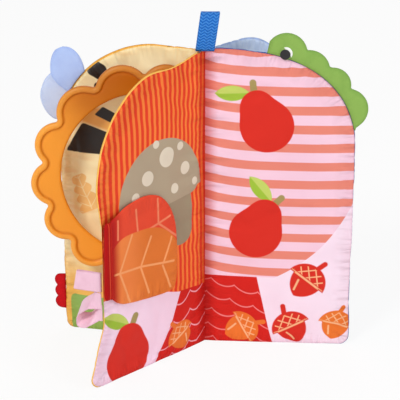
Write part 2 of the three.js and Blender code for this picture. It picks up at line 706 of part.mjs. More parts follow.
const softBook = new THREE.Group();
softBook.add(
  spineCore(),
  hangLoop(),
  turned(rightLeafDegrees,
    ...paddedLeaf('right_leaf', { ...pageShape, frontSide: -1 }, { front: 0xf0c8dc, back: 0x24457e }),
    ...feltHead()),
  turned(leftLeafDegrees,
    ...paddedLeaf('left_leaf', { ...leftShape, frontSide: 1 },
      { front: 0xe2512c, back: 0xf4b53c }),
    ...leafFlap(),
    ribbonTag('upper_tag', upperTag(), upperTagHeight),
    ribbonTag('lower_tag', lowerTag(), lowerTagHeight)),
  turned(maneFrameDegrees, ...maneFrame()),
  turned(frontCoverDegrees,
    ...paddedLeaf('front_cover', { ...coverShape, frontSide: 1 }, { front: 0xf6dc96, back: 0xf2c955 }),
    feltWing('upper_wing', upperWing, wingLayerOffset, 0xb4c8fa),
    feltWing('lower_wing', lowerWing, -wingLayerOffset, 0xd7def8),
    feltComb()),
  turned(backCoverDegrees,
    ...paddedLeaf('back_cover', { ...coverShape, frontSide: -1 }, { front: 0xbcd2f6, back: 0xa9c3f0 })),
);

export default softBook;
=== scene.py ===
import math
import bpy
import numpy as np
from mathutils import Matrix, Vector, noise
from mathutils.geometry import delaunay_2d_cdt


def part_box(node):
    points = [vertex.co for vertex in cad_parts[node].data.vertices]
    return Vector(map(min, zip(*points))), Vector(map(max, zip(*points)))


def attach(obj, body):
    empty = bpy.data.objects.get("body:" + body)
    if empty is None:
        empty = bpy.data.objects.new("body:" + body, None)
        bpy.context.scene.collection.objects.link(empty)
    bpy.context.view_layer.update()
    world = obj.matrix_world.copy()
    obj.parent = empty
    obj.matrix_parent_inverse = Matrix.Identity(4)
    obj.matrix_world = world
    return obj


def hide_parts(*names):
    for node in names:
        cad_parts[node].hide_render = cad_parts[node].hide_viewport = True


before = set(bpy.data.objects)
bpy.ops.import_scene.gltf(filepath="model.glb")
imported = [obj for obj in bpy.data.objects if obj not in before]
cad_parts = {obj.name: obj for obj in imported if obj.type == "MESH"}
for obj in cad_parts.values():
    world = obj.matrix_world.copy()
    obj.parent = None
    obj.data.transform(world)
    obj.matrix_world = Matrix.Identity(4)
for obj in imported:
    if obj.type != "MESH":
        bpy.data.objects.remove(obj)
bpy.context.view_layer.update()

# A soft cloth book for a baby, standing open like a fan. Sizes are in millimetres on each leaf:
# x from the spine to the free edge, n through the thickness, z up. Meshes are made in metres.
mm = 0.001
bookHeight = 220
fullTurn = 6.283
scene = bpy.context.scene


# Camera, at the photograph's angle
cameraSetup = {"elevation": 20, "distance": 915, "aim": (-3.545, 0, 110), "lens": 116.1}


def addCamera(setup):
    tilt = math.radians(setup["elevation"])
    back = Vector((0, -math.cos(tilt), math.sin(tilt)))
    data = bpy.data.cameras.new("bookCamera")
    data.lens = setup["lens"]
    data.sensor_width = 36
    data.clip_start = 0.01
    data.clip_end = 50
    camera = bpy.data.objects.new("bookCamera", data)
    scene.collection.objects.link(camera)
    camera.location = (Vector(setup["aim"]) + back * setup["distance"]) * mm
    camera.rotation_mode = "QUATERNION"
    camera.rotation_quaternion = (-back).to_track_quat("-Z", "Y")
    scene.camera = camera


addCamera(cameraSetup)
print("camera set")


# Materials: a wire is one socket, and sums on wires add the Math nodes
class Wire:
    def __init__(self, finish, socket):
        self.finish = finish
        self.socket = socket

    def __add__(self, other):
        return self.finish.sum("ADD", self, other)

    def __radd__(self, other):
        return self.finish.sum("ADD", other, self)

    def __sub__(self, other):
        return self.finish.sum("SUBTRACT", self, other)

    def __rsub__(self, other):
        return self.finish.sum("SUBTRACT", other, self)

    def __mul__(self, other):
        return self.finish.sum("MULTIPLY", self, other)

    def __rmul__(self, other):
        return self.finish.sum("MULTIPLY", other, self)

    def __truediv__(self, other):
        return self.finish.sum("DIVIDE", self, other)

    def __pow__(self, other):
        return self.finish.sum("POWER", self, other)

    def __abs__(self):
        return self.finish.sum("ABSOLUTE", self)

    def sine(self):
        return self.finish.sum("SINE", self)

    def least(self, other):
        return self.finish.sum("MINIMUM", self, other)

    def most(self, other):
        return self.finish.sum("MAXIMUM", self, other)


# sRGB numbers from 0 to 255 as a linear colour
def ink(red, green, blue):
    def linear(value):
        share = value / 255
        return share / 12.92 if share <= 0.04045 else ((share + 0.055) / 1.055) ** 2.4
    return (linear(red), linear(green), linear(blue), 1)


class Finish:
    def __init__(self, name):
        self.material = bpy.data.materials.new(name)
        self.material.use_nodes = True
        self.tree = self.material.node_tree
        self.tree.nodes.clear()

    # Any node: its settings first, then its sockets' values or wires
    def node(self, kind, settings, sockets, outlet=0):
        made = self.tree.nodes.new(kind)
        for key, value in settings.items():
            if key == "stops":
                ramp = made.color_ramp
                while len(ramp.elements) < len(value):
                    ramp.elements.new(1)
                for element, (position, colour) in zip(ramp.elements, value):
                    element.position = position
                    element.color = colour
            else:
                setattr(made, key, value)
        for key, value in sockets.items():
            if isinstance(value, Wire):
                self.tree.links.new(value.socket, made.inputs[key])
            else:
                made.inputs[key].default_value = value
        return None if outlet is None else Wire(self, made.outputs[outlet])

    # A number kept at each point of the mesh
    def mark(self, name):
        return self.node("ShaderNodeAttribute", {"attribute_name": name}, {}, 2)

    def sum(self, operation, *values):
        return self.node("ShaderNodeMath", {"operation": operation}, dict(enumerate(values)))

    def vector(self, operation, *values):
        return self.node("ShaderNodeVectorMath", {"operation": operation}, dict(enumerate(values)))

    def scaled(self, spot, size):
        return self.node("ShaderNodeVectorMath", {"operation": "SCALE"}, {0: spot, 3: size})

    def stretched(self, place, scale, turn=(0, 0, 0)):
        return self.node("ShaderNodeMapping", {}, {0: place, 2: turn, 3: scale})

    # Two numbers as one place
    def pair(self, first, second):
        return self.node("ShaderNodeCombineXYZ", {}, {0: first, 1: second})

    # The leaf's own place in millimetres, from the map that every cut piece carries
    def place(self):
        return self.scaled(self.node("ShaderNodeUVMap", {"uv_map": "leafMap"}, {}), bookHeight)

    # The place in the row frame in millimetres, for pieces that need no print
    def solidPlace(self):
        return self.scaled(self.node("ShaderNodeTexCoord", {}, {}, 3), 1 / mm)

    def parts(self, vector):
        first = self.node("ShaderNodeSeparateXYZ", {}, {0: vector})
        return first, Wire(self, first.socket.node.outputs[1]), Wire(self, first.socket.node.outputs[2])

    # A motif's own coordinates, turned and sized about its centre
    def motif(self, place, centre, degrees, size):
        return self.node("ShaderNodeMapping", {"vector_type": "TEXTURE"}, {
            0: place, 1: (centre[0], centre[1], 0), 2: (0, 0, math.radians(degrees)), 3: (size, size, 1)})

    def disc(self, spot, centre, radius):
        flat = self.node("ShaderNodeVectorMath", {"operation": "DISTANCE"}, {
            0: spot, 1: (centre[0], centre[1], 0)}, 1)
        return flat - radius

    # Distance to a straight strip with round ends
    def strip(self, spot, start, end, radius):
        along = Vector((end[0] - start[0], end[1] - start[1], 0))
        off = self.vector("SUBTRACT", spot, (start[0], start[1], 0))
        reach = self.node("ShaderNodeVectorMath", {"operation": "DOT_PRODUCT"}, {0: off, 1: along}, 1)
        share = self.node("ShaderNodeMath", {"operation": "MULTIPLY", "use_clamp": True}, {
            0: reach, 1: 1 / along.length_squared})
        foot = self.scaled(tuple(along), share)
        return self.node("ShaderNodeVectorMath", {"operation": "DISTANCE"}, {0: off, 1: foot}, 1) - radius

    def blendedUnion(self, first, second, soft):
        return self.sum("SMOOTH_MIN", first, second, soft)

    def blendedOverlap(self, first, second, soft):
        return self.sum("SMOOTH_MAX", first, second, soft)

    # 1 inside a shape, 0 outside, from its distance
    def inside(self, distance, soft=0.2):
        return self.node("ShaderNodeMath", {"operation": "MULTIPLY_ADD", "use_clamp": True}, {
            0: distance, 1: -0.5 / soft, 2: 0.5})

    def range(self, value, low, high, toLow=0, toHigh=1):
        return self.node("ShaderNodeMapRange", {"interpolation_type": "SMOOTHSTEP"}, {
            0: value, 1: low, 2: high, 3: toLow, 4: toHigh})

    def lay(self, under, over, mask, way="MIX"):
        return self.node("ShaderNodeMix", {"data_type": "RGBA", "blend_type": way}, {
            0: mask, 6: under, 7: over}, 2)

    def mottle(self, place, scale, detail=3, roughness=0.5):
        return self.node("ShaderNodeTexNoise", {}, {
            "Vector": place, "Scale": scale, "Detail": detail, "Roughness": roughness})

    def bump(self, height, strength, distance, under=None):
        sockets = {"Strength": strength, "Distance": distance * mm, "Height": height}
        if under is not None:
            sockets["Normal"] = under
        return self.node("ShaderNodeBump", {}, sockets)

    def closeShader(self, shader):
        self.node("ShaderNodeOutputMaterial", {}, {0: shader}, None)
        return self.material

    def close(self, **sockets):
        keyed = {key.replace("_", " "): value for key, value in sockets.items()}
        return self.closeShader(self.node("ShaderNodeBsdfPrincipled", {}, keyed))


# Finishes
# Woven cloth: fine threads, puckers drawn in by the seam and at the gutter, and painted shade along the seam and at the
# gutter
def cloth(name, colour, look, printed=None):
    finish = Finish(name)
    place = finish.place()
    x, z, _ = finish.parts(place)
    run, inset = finish.mark("seamRun"), finish.mark("seamInset")
    byEdge, bySpine = finish.range(inset, 15, 0), finish.range(x, 15, 0)
    along = finish.pair(run * 0.085, inset * 0.02)
    upwards = finish.pair(z * 0.11, x * 0.03)
    pullEdge = (finish.mottle(along, 1, 2, 0.4) - 0.5) * byEdge * look["drawn"]
    pullSpine = (finish.mottle(upwards, 1, 2, 0.4) - 0.5) * bySpine * look["drawn"]
    pull = finish.pair(pullEdge, pullEdge + pullSpine)
    paint = colour if printed is None else printed(finish, finish.vector("ADD", place, pull), colour)
    uneven = finish.mottle(place, 0.022, 2)
    paint = finish.lay(paint, look["tone"], finish.range(uneven, 0.4, 0.7, 0, look["shade"]), "MULTIPLY")
    if look["sewn"]:
        # painted shade: the cloth is darkened close to the seam, in the tone colour
        shade = finish.range(inset, 1.6, 0.1) * 0.35 + finish.range(inset, 9, 0.5) * 0.2
        paint = finish.lay(paint, look["tone"], shade, "MULTIPLY")
        # painted shade: the cloth is darkened towards the gutter, in the deep colour
        paint = finish.lay(paint, look["deep"], finish.range(x, 10, 0) * 0.8, "MULTIPLY")
    threads = (x * (fullTurn / look["thread"])).sine() * (z * (fullTurn / look["thread"])).sine()
    slubs = finish.mottle(finish.stretched(place, (0.12, 1.6, 1)), 1, 2)
    fine = finish.bump(threads + slubs, 0.3, look["weave"])
    edgeFolds = finish.mottle(finish.pair(run * 0.17, inset * 0.03), 1, 2, 0.45)
    spineFolds = finish.mottle(finish.pair(z * 0.13, x * 0.03), 1, 2, 0.45)
    folds = edgeFolds * finish.range(inset, 14, 1) + spineFolds * finish.range(x, 24, 3)
    gathered = finish.bump(folds, 0.8, look["pucker"], fine)
    creases = finish.mottle(place, look["crease"], 2, 0.4)
    soft = finish.bump(creases, 0.6, look["creaseDepth"], gathered)
    rough = look["roughness"] + (uneven - 0.5) * 0.2
    return finish.close(Base_Color=paint, Roughness=rough, Normal=soft, Specular_IOR_Level=look["specular"])


# tone colours the random mottle and the painted shade at the seam; deep is the colour of the painted shade at the
# gutter
clothLooks = {
    "page": {"tone": ink(232, 208, 214), "deep": ink(206, 122, 118), "shade": 0.15, "sewn": True, "thread": 0.5,
             "weave": 0.05, "pucker": 6, "crease": 0.028, "creaseDepth": 6, "drawn": 3.6, "roughness": 0.5,
             "specular": 0.16},
    "glossy": {"tone": ink(252, 222, 166), "deep": ink(230, 180, 110), "shade": 0.12, "sewn": True, "thread": 0.45,
               "weave": 0.04, "pucker": 5, "crease": 0.03, "creaseDepth": 6, "drawn": 2, "roughness": 0.32,
               "specular": 0.35},
    "cool": {"tone": ink(206, 220, 246), "deep": ink(200, 214, 240), "shade": 0.3, "sewn": True, "thread": 0.45,
             "weave": 0.04, "pucker": 6, "crease": 0.035, "creaseDepth": 7, "drawn": 2, "roughness": 0.3,
             "specular": 0.4},
    "plain": {"tone": ink(226, 196, 186), "shade": 0.3, "sewn": False, "thread": 0.5, "weave": 0.06, "pucker": 1.2,
              "crease": 0.045, "creaseDepth": 1.6, "drawn": 0, "roughness": 0.6, "specular": 0.12},
}

inks = {
    "pink": ink(247, 207, 225), "ground": ink(250, 228, 243), "coral": ink(233, 137, 119),
    "red": ink(217, 45, 32), "stripeRed": ink(232, 62, 34), "stripeOrange": ink(252, 132, 58),
    "bark": ink(213, 33, 25), "barkLine": ink(240, 132, 132), "leftBarkLine": ink(248, 176, 188),
    "stem": ink(168, 150, 92), "leafDark": ink(160, 196, 62), "leafLight": ink(196, 214, 104),
    "orange": ink(236, 120, 46), "paleLine": ink(250, 190, 140), "taupe": ink(180, 164, 138),
    "taupeDark": ink(160, 144, 118), "taupeSpot": ink(228, 218, 196), "leftPink": ink(252, 222, 242),
    "cream": ink(254, 240, 194), "gold": ink(250, 190, 74), "black": ink(34, 24, 18),
    "barGold": ink(240, 178, 92), "grass": ink(150, 190, 96), "paleLeaf": ink(244, 192, 110),
    "deepBlue": ink(34, 84, 156), "paleBlue": ink(178, 202, 244), "cloud": ink(208, 224, 250),
    "backGold": ink(252, 196, 96), "brightBlue": ink(212, 228, 254),
}


# A pear with its stem and a two-toned leaf beside it; a hand of -1 turns it round
def addPear(finish, paint, place, centre, degrees, size, hand=1):
    spot = finish.vector("MULTIPLY", finish.motif(place, centre, degrees, size), (hand, 1, 1))
    blade = finish.motif(spot, (-8.8, 17), 158, 1)
    _, across, _ = finish.parts(blade)
    leaf = finish.disc(blade, (0, 7.2), 11).most(finish.disc(blade, (0, -7.2), 11))
    paint = finish.lay(paint, inks["leafDark"], finish.inside(leaf))
    paint = finish.lay(paint, inks["leafLight"], finish.inside(leaf.most(across)))
    paint = finish.lay(paint, inks["stem"], finish.inside(finish.strip(spot, (0, 11), (2.2, 18), 1.6)))
    body = finish.blendedUnion(finish.disc(spot, (0, -4), 13), finish.disc(spot, (-0.6, 6.5), 8), 6)
    return finish.lay(paint, inks["red"], finish.inside(body))


# An acorn: a pale outlined cap with cross lines over a nut with a point
def addAcorn(finish, paint, place, centre, degrees, size, colour):
    spot = finish.motif(place, centre, degrees, size)
    x, z, _ = finish.parts(spot)
    nut = finish.disc(spot, (3.2, 1), 9.8).most(finish.disc(spot, (-3.2, 1), 9.8))
    paint = finish.lay(paint, colour, finish.inside(nut.most(z - 1)))
    cap = finish.disc(spot, (0, -1), 8.6).most(0 - z)
    stalk = finish.strip(spot, (0, 6), (1.4, 10.5), 1.1)
    paint = finish.lay(paint, colour, finish.inside(cap.least(stalk)))
    line = (abs(z - 0.4) - 0.4).most(cap.least(nut) + 0.5)
    for side in (1, -1):
        weave = abs((x + z * side) * 0.24)
        line = line.least((abs(finish.sum("FRACT", weave) - 0.5) * 4.2 - 0.35).most(cap + 1.2))
    line = line.least(finish.strip(spot, (-2.8, -1.6), (-1.6, -6), 0.4))
    return finish.lay(paint, inks["paleLine"], finish.inside(line))


# Rows of bark scallops that fall away from the spine
def addBark(finish, paint, place, mask, rows, slope, deep, colour):
    x, z, _ = finish.parts(place)
    for height, shift in rows:
        sag = abs((x * (math.pi / 17) + shift).sine()) ** 0.8 * deep
        line = abs(z - (height - slope * x - sag)) - 0.5
        paint = finish.lay(paint, colour, finish.inside(line, 0.25) * mask)
    return paint


# Right page: level stripes inside a big round, pears, bark and acorns on a pale ground
def rightPrint(finish, place, colour):
    x, z, _ = finish.parts(place)
    rise = finish.sum("POWER", 2.718, x * -0.06) * 4.6
    rows = finish.sum("FRACT", (z - rise - 194.9 + 268) / 13.35)
    stripe = finish.inside(abs(rows - 0.76) * 13.35 - 3.15)
    paint = finish.lay(colour, inks["coral"], stripe)
    crown = finish.disc(place, (0, 155), 113.6).most(53.2 - z)
    paint = finish.lay(inks["ground"], paint, finish.inside(crown))
    trunk = (z - 53.2).most(x * 0.975 + z * 0.22 - 48.3)
    trunkMask = finish.inside(trunk)
    paint = finish.lay(paint, inks["bark"], trunkMask)
    paint = addBark(finish, paint, place, trunkMask,
                    [(52, 2.3), (40.2, 2.9), (28, 2.2), (16, 2.7), (5, 2.1)], 0.27, 3.4, inks["barkLine"])
    for centre, degrees in (((40.5, 171.5), 24), ((39, 92.5), -28)):
        paint = addPear(finish, paint, place, centre, degrees, 1.45)
    for centre, degrees, size, tone in (((73, 51), -38, 1.75, "red"), ((63, 14), 28, 1.7, "red"),
                                        ((95, 16), -16, 1.5, "orange"), ((27, 12), -62, 1.6, "orange")):
        paint = addAcorn(finish, paint, place, centre, degrees, size, inks[tone])
    return paint


# Left page: upright wavy stripes, a spotted mushroom, and the same ground, bark and fruit
def leftPrint(finish, place, colour):
    x, z, _ = finish.parts(place)
    wave = (z * 0.075).sine() * 0.35 + (z * 0.03 + x * 0.05).sine() * 0.8
    rows = finish.sum("FRACT", (x + wave + 400) / 4.45)
    stripe = finish.inside(abs(rows - 0.5) * 4.45 - 1.05, 0.3)
    paint = finish.lay(inks["stripeRed"], inks["stripeOrange"], stripe)
    stem = finish.strip(place, (27, 97), (29, 124), 12.5)
    paint = finish.lay(paint, inks["taupeDark"], finish.inside(stem))
    gills = finish.strip(place, (16, 126), (68, 122), 6)
    cap = finish.disc(place, (44, 127), 38.5).most(123 - z - (x - 41) * 0.06)
    cap = finish.blendedUnion(cap, gills, 5)
    paint = finish.lay(paint, inks["taupe"], finish.inside(cap))
    for centre, radius in [((40, 152), 7), ((22, 140), 4.6), ((58, 141), 5.2), ((33, 128), 3.6), ((69, 130), 3.4),
                           ((50, 163), 2.8), ((27, 157), 3), ((12, 128), 2.8)]:
        paint = finish.lay(paint, inks["taupeSpot"], finish.inside(finish.disc(place, centre, radius)))
    crown = finish.disc(place, (0, 155), 110).least((94 - x).most(62 - z)).most(45.3 - z + x * 0.12)
    paint = finish.lay(colour, paint, finish.inside(crown))
    trunk = (z - 46.5 - x * 0.09).most(x * 0.9 + z * 0.44 - 45.6)
    trunkMask = finish.inside(trunk)
    paint = finish.lay(paint, inks["bark"], trunkMask)
    paint = addBark(finish, paint, place, trunkMask,
                    [(50.5, 3.2), (37, 3), (24, 3.3), (11.5, 3)], 0.26, 5, inks["leftBarkLine"])
    paint = addPear(finish, paint, place, (76, 18.5), 4, 1.48, -1)
    return addAcorn(finish, paint, place, (27, 14), -30, 1.5, inks["orange"])


# Front cover: cream with black bars and patches, a pale oak leaf low down and a green foot
def coverPrint(finish, place, colour):
    x, z, _ = finish.parts(place)
    paint = finish.lay(colour, inks["gold"], finish.range(z, 70, 30) * 0.9)
    # painted shade: darker gold streaks along the cover's soft folds
    folds = finish.mottle(finish.stretched(place, (0.02, 0.09, 1)), 1, 2)
    paint = finish.lay(paint, ink(238, 184, 104), finish.range(folds, 0.5, 0.7) * 0.45)
    band = (z - 172 - (x - 72) * 0.49).most(136 + x * 0.3 - z)
    paint = finish.lay(paint, inks["barGold"], finish.inside(band, 2) * finish.range(x, 104, 88))
    block = finish.blendedOverlap(z - 133.4 - x * 0.33, (x - 96.5) * 0.85 + (z - 148) * 0.53, 4)
    block = finish.blendedOverlap(block, 139.6 - z, 4)
    bar = finish.blendedOverlap(z - 174.6 - (x - 72) * 0.49, 168.4 + (x - 78.1) * 0.44 - z, 2)
    bar = finish.blendedOverlap(bar, (x - 75.5) * 0.71 + (z - 171.5) * 0.71, 2)
    dark = finish.blendedOverlap(block.least(bar), 46 - x, 6)
    for centre, degrees, half, corner in [((76.5, 200.3), 24, (7.6, 5.6), 5), ((96.5, 183), 38, (5, 2), 1.8)]:
        across, up, _ = finish.parts(finish.motif(place, centre, degrees, 1))
        side = (abs(across) - (half[0] - corner)).most(0)
        top = (abs(up) - (half[1] - corner)).most(0)
        dark = dark.least(((side * side + top * top) ** 0.5) - corner)
    for centre, radius in [((75.5, 188.8), 2.9), ((104, 164), 2.6)]:
        dark = dark.least(finish.disc(place, centre, radius))
    paint = finish.lay(paint, inks["black"], finish.inside(dark, 0.3))
    across, up, _ = finish.parts(finish.motif(place, (88, 109), -24, 1))
    lobes = abs((up * 0.42).sine()) * 3
    leaf = (abs(across) - lobes - 4.8 + up * 0.14).most(abs(up) - 14)
    paint = finish.lay(paint, inks["paleLeaf"], finish.inside(leaf, 0.4) * 0.8)
    vein = (abs(across) - 0.4).least(abs(finish.sum("FRACT", (up - abs(across) * 0.8) / 7.5 + 9) - 0.5) * 7.5 - 0.35)
    paint = finish.lay(paint, colour, finish.inside(vein.most(leaf + 0.8)) * 0.7)
    green = finish.blendedOverlap(abs(x - 86) - 16, z - 28, 6)
    return finish.lay(paint, inks["grass"], finish.inside(green))


# Plain backs with a scatter of small round spots, none of them at the seam
def spottedPrint(spotInk, pitch, radius):
    def printed(finish, place, colour):
        x, z, _ = finish.parts(place)
        row = finish.sum("FLOOR", z / pitch)
        shift = finish.sum("FRACT", row * 0.5) * pitch
        cellX = finish.sum("FRACT", (x + shift + 400) / pitch) - 0.5
        cellZ = finish.sum("FRACT", z / pitch + 40) - 0.5
        off = ((cellX * cellX + cellZ * cellZ) ** 0.5) * pitch - radius
        return finish.lay(colour, spotInk, finish.inside(off) * finish.range(finish.mark("seamInset"), 3, 3.5))
    return printed


finishes = {
    "rightFront": cloth("pagePinkStripe", inks["pink"], clothLooks["page"], rightPrint),
    "rightBack": cloth("deepBlueSpot", inks["deepBlue"], clothLooks["plain"], spottedPrint(inks["paleBlue"], 14, 2.1)),
    "leftFront": cloth("pageRedStripe", inks["leftPink"], clothLooks["page"], leftPrint),
    "leftBack": cloth("goldSpot", inks["backGold"], clothLooks["plain"], spottedPrint(inks["cream"], 17, 3)),
    "coverFront": cloth("coverCream", inks["cream"], clothLooks["glossy"], coverPrint),
    "coverBack": cloth("coverGold", inks["gold"], clothLooks["glossy"], spottedPrint(inks["barGold"], 22, 4)),
    "backCoverFront": cloth("coverPaleBlue", inks["brightBlue"], clothLooks["cool"]),
    "backCoverBack": cloth("coverCloud", inks["paleBlue"], clothLooks["cool"], spottedPrint(inks["cloud"], 26, 6)),
}
print("cloth finishes made")


# Flat shapes filled with a fine net, sewn all round
def arcLengths(path):
    return np.concatenate([[0], np.cumsum(np.linalg.norm(np.diff(path, axis=0), axis=1))])


def evenly(path, step):
    along = arcLengths(path)
    count = max(2, int(round(along[-1] / step)) + 1)
    at = np.linspace(0, along[-1], count)
    return np.stack([np.interp(at, along, path[:, 0]), np.interp(at, along, path[:, 1])], 1)


# A smooth curve through a few points
def curve(points, count=60):
    points = np.array(points, float)
    padded = np.concatenate([[points[0]], points, [points[-1]]])
    made = []
    for share in np.linspace(0, len(points) - 1, count):
        i = min(int(share), len(points) - 2)
        t = share - i
        a, b, c, d = padded[i:i + 4]
        made.append(0.5 * ((2 * b) + (c - a) * t + (2 * a - 5 * b + 4 * c - d) * t ** 2
                           + (3 * b - a - 3 * c + d) * t ** 3))
    return np.array(made)


# Distance from each point to a path, and how far along the path the nearest place is
def nearPath(points, path):
    starts, steps = path[:-1], np.diff(path, axis=0)
    squares = np.maximum((steps ** 2).sum(1), 1e-9)
    share = np.clip(((points[:, None] - starts) * steps).sum(2) / squares, 0, 1)
    gaps = np.linalg.norm(points[:, None] - (starts + share[..., None] * steps), axis=2)
    best = gaps.argmin(1)
    rows = np.arange(len(points))
    return gaps[rows, best], arcLengths(path)[best] + share[rows, best] * np.sqrt(squares[best])


def insideLoop(points, loop):
    crossings = np.zeros(len(points), int)
    for (ax, az), (bx, bz) in zip(loop[:-1], loop[1:]):
        if abs(bz - az) < 1e-12:
            continue
        hit = (az > points[:, 1]) != (bz > points[:, 1])
        crossings += hit & (points[:, 0] < ax + (points[:, 1] - az) / (bz - az) * (bx - ax))
    return crossings % 2 == 1


# Fills an outline: the sewn edge, rings close inside it, and an even net further in
def fillShape(sewn, root, rings, net):
    border = np.concatenate([sewn, root[1:-1]]) if len(root) else sewn
    area = 0.5 * np.sum(border[:, 0] * np.roll(border[:, 1], -1) - np.roll(border[:, 0], -1) * border[:, 1])
    tangent = np.roll(border, -1, 0) - np.roll(border, 1, 0)
    tangent /= np.maximum(np.linalg.norm(tangent, axis=1)[:, None], 1e-9)
    inward = np.stack([-tangent[:, 1], tangent[:, 0]], 1) * (1 if area > 0 else -1)
    loop = np.concatenate([border, border[:1]])
    inner = []
    for depth in rings:
        ring = border + inward * depth
        gap, _ = nearPath(ring, loop)
        inner.append(ring[gap > depth * 0.93])
    low, high = border.min(0), border.max(0)
    rowStep = net * 0.866
    rows = np.arange(low[1], high[1], rowStep)
    grid = [(x + (net / 2 if i % 2 else 0), z) for i, z in enumerate(rows) for x in np.arange(low[0], high[0], net)]
    grid = np.array(grid)
    gap, _ = nearPath(grid, loop)
    inner.append(grid[insideLoop(grid, loop) & (gap > rings[-1] + net * 0.6)])
    points = np.concatenate([border] + inner)
    made = delaunay_2d_cdt([Vector(p) for p in points], [], [list(range(len(border)))], 1, 1e-5, True)
    flat = np.array([tuple(v) for v in made[0]])
    faces = np.array(made[2])
    faces = faces[insideLoop(flat[faces].mean(1), loop)]
    inset, along = nearPath(flat, sewn if len(root) else loop)
    onBorder = np.array([any(i < len(border) for i in source) for source in made[3]])
    return {"flat": flat, "faces": faces, "inset": inset, "along": along, "border": onBorder, "loop": loop}


def keepMap(mesh, name, spots):
    layer = mesh.uv_layers.new(name=name)
    corners = np.empty(len(mesh.loops), np.int32)
    mesh.loops.foreach_get("vertex_index", corners)
    layer.data.foreach_set("uv", np.asarray(spots)[corners].astype(np.float32).ravel())


# Faces of a tube with n points a row, closed at both ends
def tubeFaces(rows, n):
    faces = [(i * n + j, i * n + (j + 1) % n, (i + 1) * n + (j + 1) % n, (i + 1) * n + j)
             for i in range(rows - 1) for j in range(n)]
    return faces + [tuple(range(n))[::-1], tuple((rows - 1) * n + j for j in range(n))]


# Puts a soft piece on its body, in place of its solids
def dress(piece, body, nodes):
    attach(piece, body)
    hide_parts(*nodes)


def meshPiece(name, points, faces, finish, leafMap=None, smooth=True):
    mesh = bpy.data.meshes.new(name)
    mesh.from_pydata([tuple(p) for p in points], [], [tuple(int(i) for i in f) for f in faces])
    mesh.update()
    if leafMap is not None:
        keepMap(mesh, "leafMap", np.asarray(leafMap) / bookHeight)
    if smooth:
        mesh.polygons.foreach_set("use_smooth", [True] * len(mesh.polygons))
    if finish is not None:
        mesh.materials.append(finish)
    piece = bpy.data.objects.new(name, mesh)
    scene.collection.objects.link(piece)
    return piece


# Millimetres on a leaf to metres in the row frame
def onLeaf(degrees, x, n, z):
    turn = math.radians(degrees)
    return np.stack([x * math.cos(turn) - n * math.sin(turn), x * math.sin(turn) + n * math.cos(turn), z], 1) * mm


def smoothstep(value, low, high):
    share = np.clip((value - low) / (high - low), 0, 1)
    return share * share * (3 - 2 * share)


def noiseAt(points, seed):
    return np.array([noise.noise(Vector((p[0], p[1], seed))) for p in points])


# Unevenness along a run
def noiseAlong(run, scale, seed):
    return noiseAt(np.stack([run * scale, run * 0], 1), seed)


# Rises from 0 at a seam to 1 at a distance in from it, as a round does
def crownShare(inset, run):
    return 1 - (1 - np.minimum(inset / run, 1)) ** 2


# The points of a back cloth: the seam's own, and new ones behind the rest
def behind(border):
    index = np.arange(len(border))
    index[~border] = len(border) + np.arange((~border).sum())
    return index


# Padded leaves. The edge, the crown and the run of the padding are all from the seam inwards
leafSizes = {
    "width": 106, "root": 0, "topDrop": 1.6, "crown": 0.75, "run": 26, "rootRun": 22, "edge": 0.8, "edgeRun": 1.8,
    "rings": (0.5, 1.3, 2.6, 4.2), "step": 2.0, "net": 2.4, "most": 3.75, "seamLift": 0.4,
    "waistFoot": 44, "waistTop": 116, "dipPlace": 28, "dipRun": 34,
}
leaves = {
    "right_leaf": {"degrees": -3.6, "archRun": 104, "archRise": 78, "square": 2.5, "corner": 8, "waist": 1.7,
                   "flare": -1.2, "dip": 0,
                   "front": -1, "finishes": ("rightFront", "rightBack"), "slots": ("page_pink", "cloth_deep_blue"),
                   "larger": 0.008, "ease": 0.4, "seed": 1.5, "waistEase": 10000, "roll": 0.45, "channel": 0.5},
    "left_leaf": {"degrees": 225, "archRun": 96, "archRise": 86.7, "corner": 8, "waist": 9, "flare": 5.5,
                  "dip": 6.3, "front": 1, "finishes": ("leftFront", "leftBack"), "slots": ("page_red", "cloth_gold"),
                  "larger": 0.010, "ease": 0.5, "seed": 8.2, "waistEase": 84, "roll": 0.8, "hidden": (50, 120),
                  "channel": 0.9},
    "front_cover": {"degrees": 167, "archRun": 73, "archRise": 70.4, "corner": 6, "waist": 0, "flare": 0, "dip": 0,
                    "front": 1, "finishes": ("coverFront", "coverBack"), "slots": ("cover_cream", "cloth_gold"),
                    "larger": 0.016, "ease": 0.8, "seed": 14.1, "waistEase": 84, "roll": 0.6, "channel": 0.7},
    "back_cover": {"degrees": 50, "archRun": 73, "archRise": 70.4, "corner": 6, "waist": 0, "flare": 0, "dip": 1,
                   "front": -1, "finishes": ("backCoverFront", "backCoverBack"),
                   "slots": ("cover_pale_blue", "cover_pale_blue"), "larger": 0.012, "ease": 0.8, "seed": 21.7,
                   "waistEase": 84, "roll": 0.6, "channel": 0.7},
}
# The two cloths are a little larger than their seam, so a breath of air between them draws puckers
stuffing = {"frames": 20, "pressure": 4, "mass": 0.3, "stretch": 15, "shear": 5, "bend": 0.5, "share": 0.75,
            "hold": 5, "most": 2.6}


def waistAt(z, leaf):
    sizes = leafSizes
    foot = -leaf["flare"] + (leaf["waist"] + leaf["flare"]) * z / sizes["waistFoot"]
    top = leaf["waist"] * np.clip(1 - (z - sizes["waistTop"]) / leaf["waistEase"], 0, 1)
    return np.where(z < sizes["waistFoot"], foot, top)


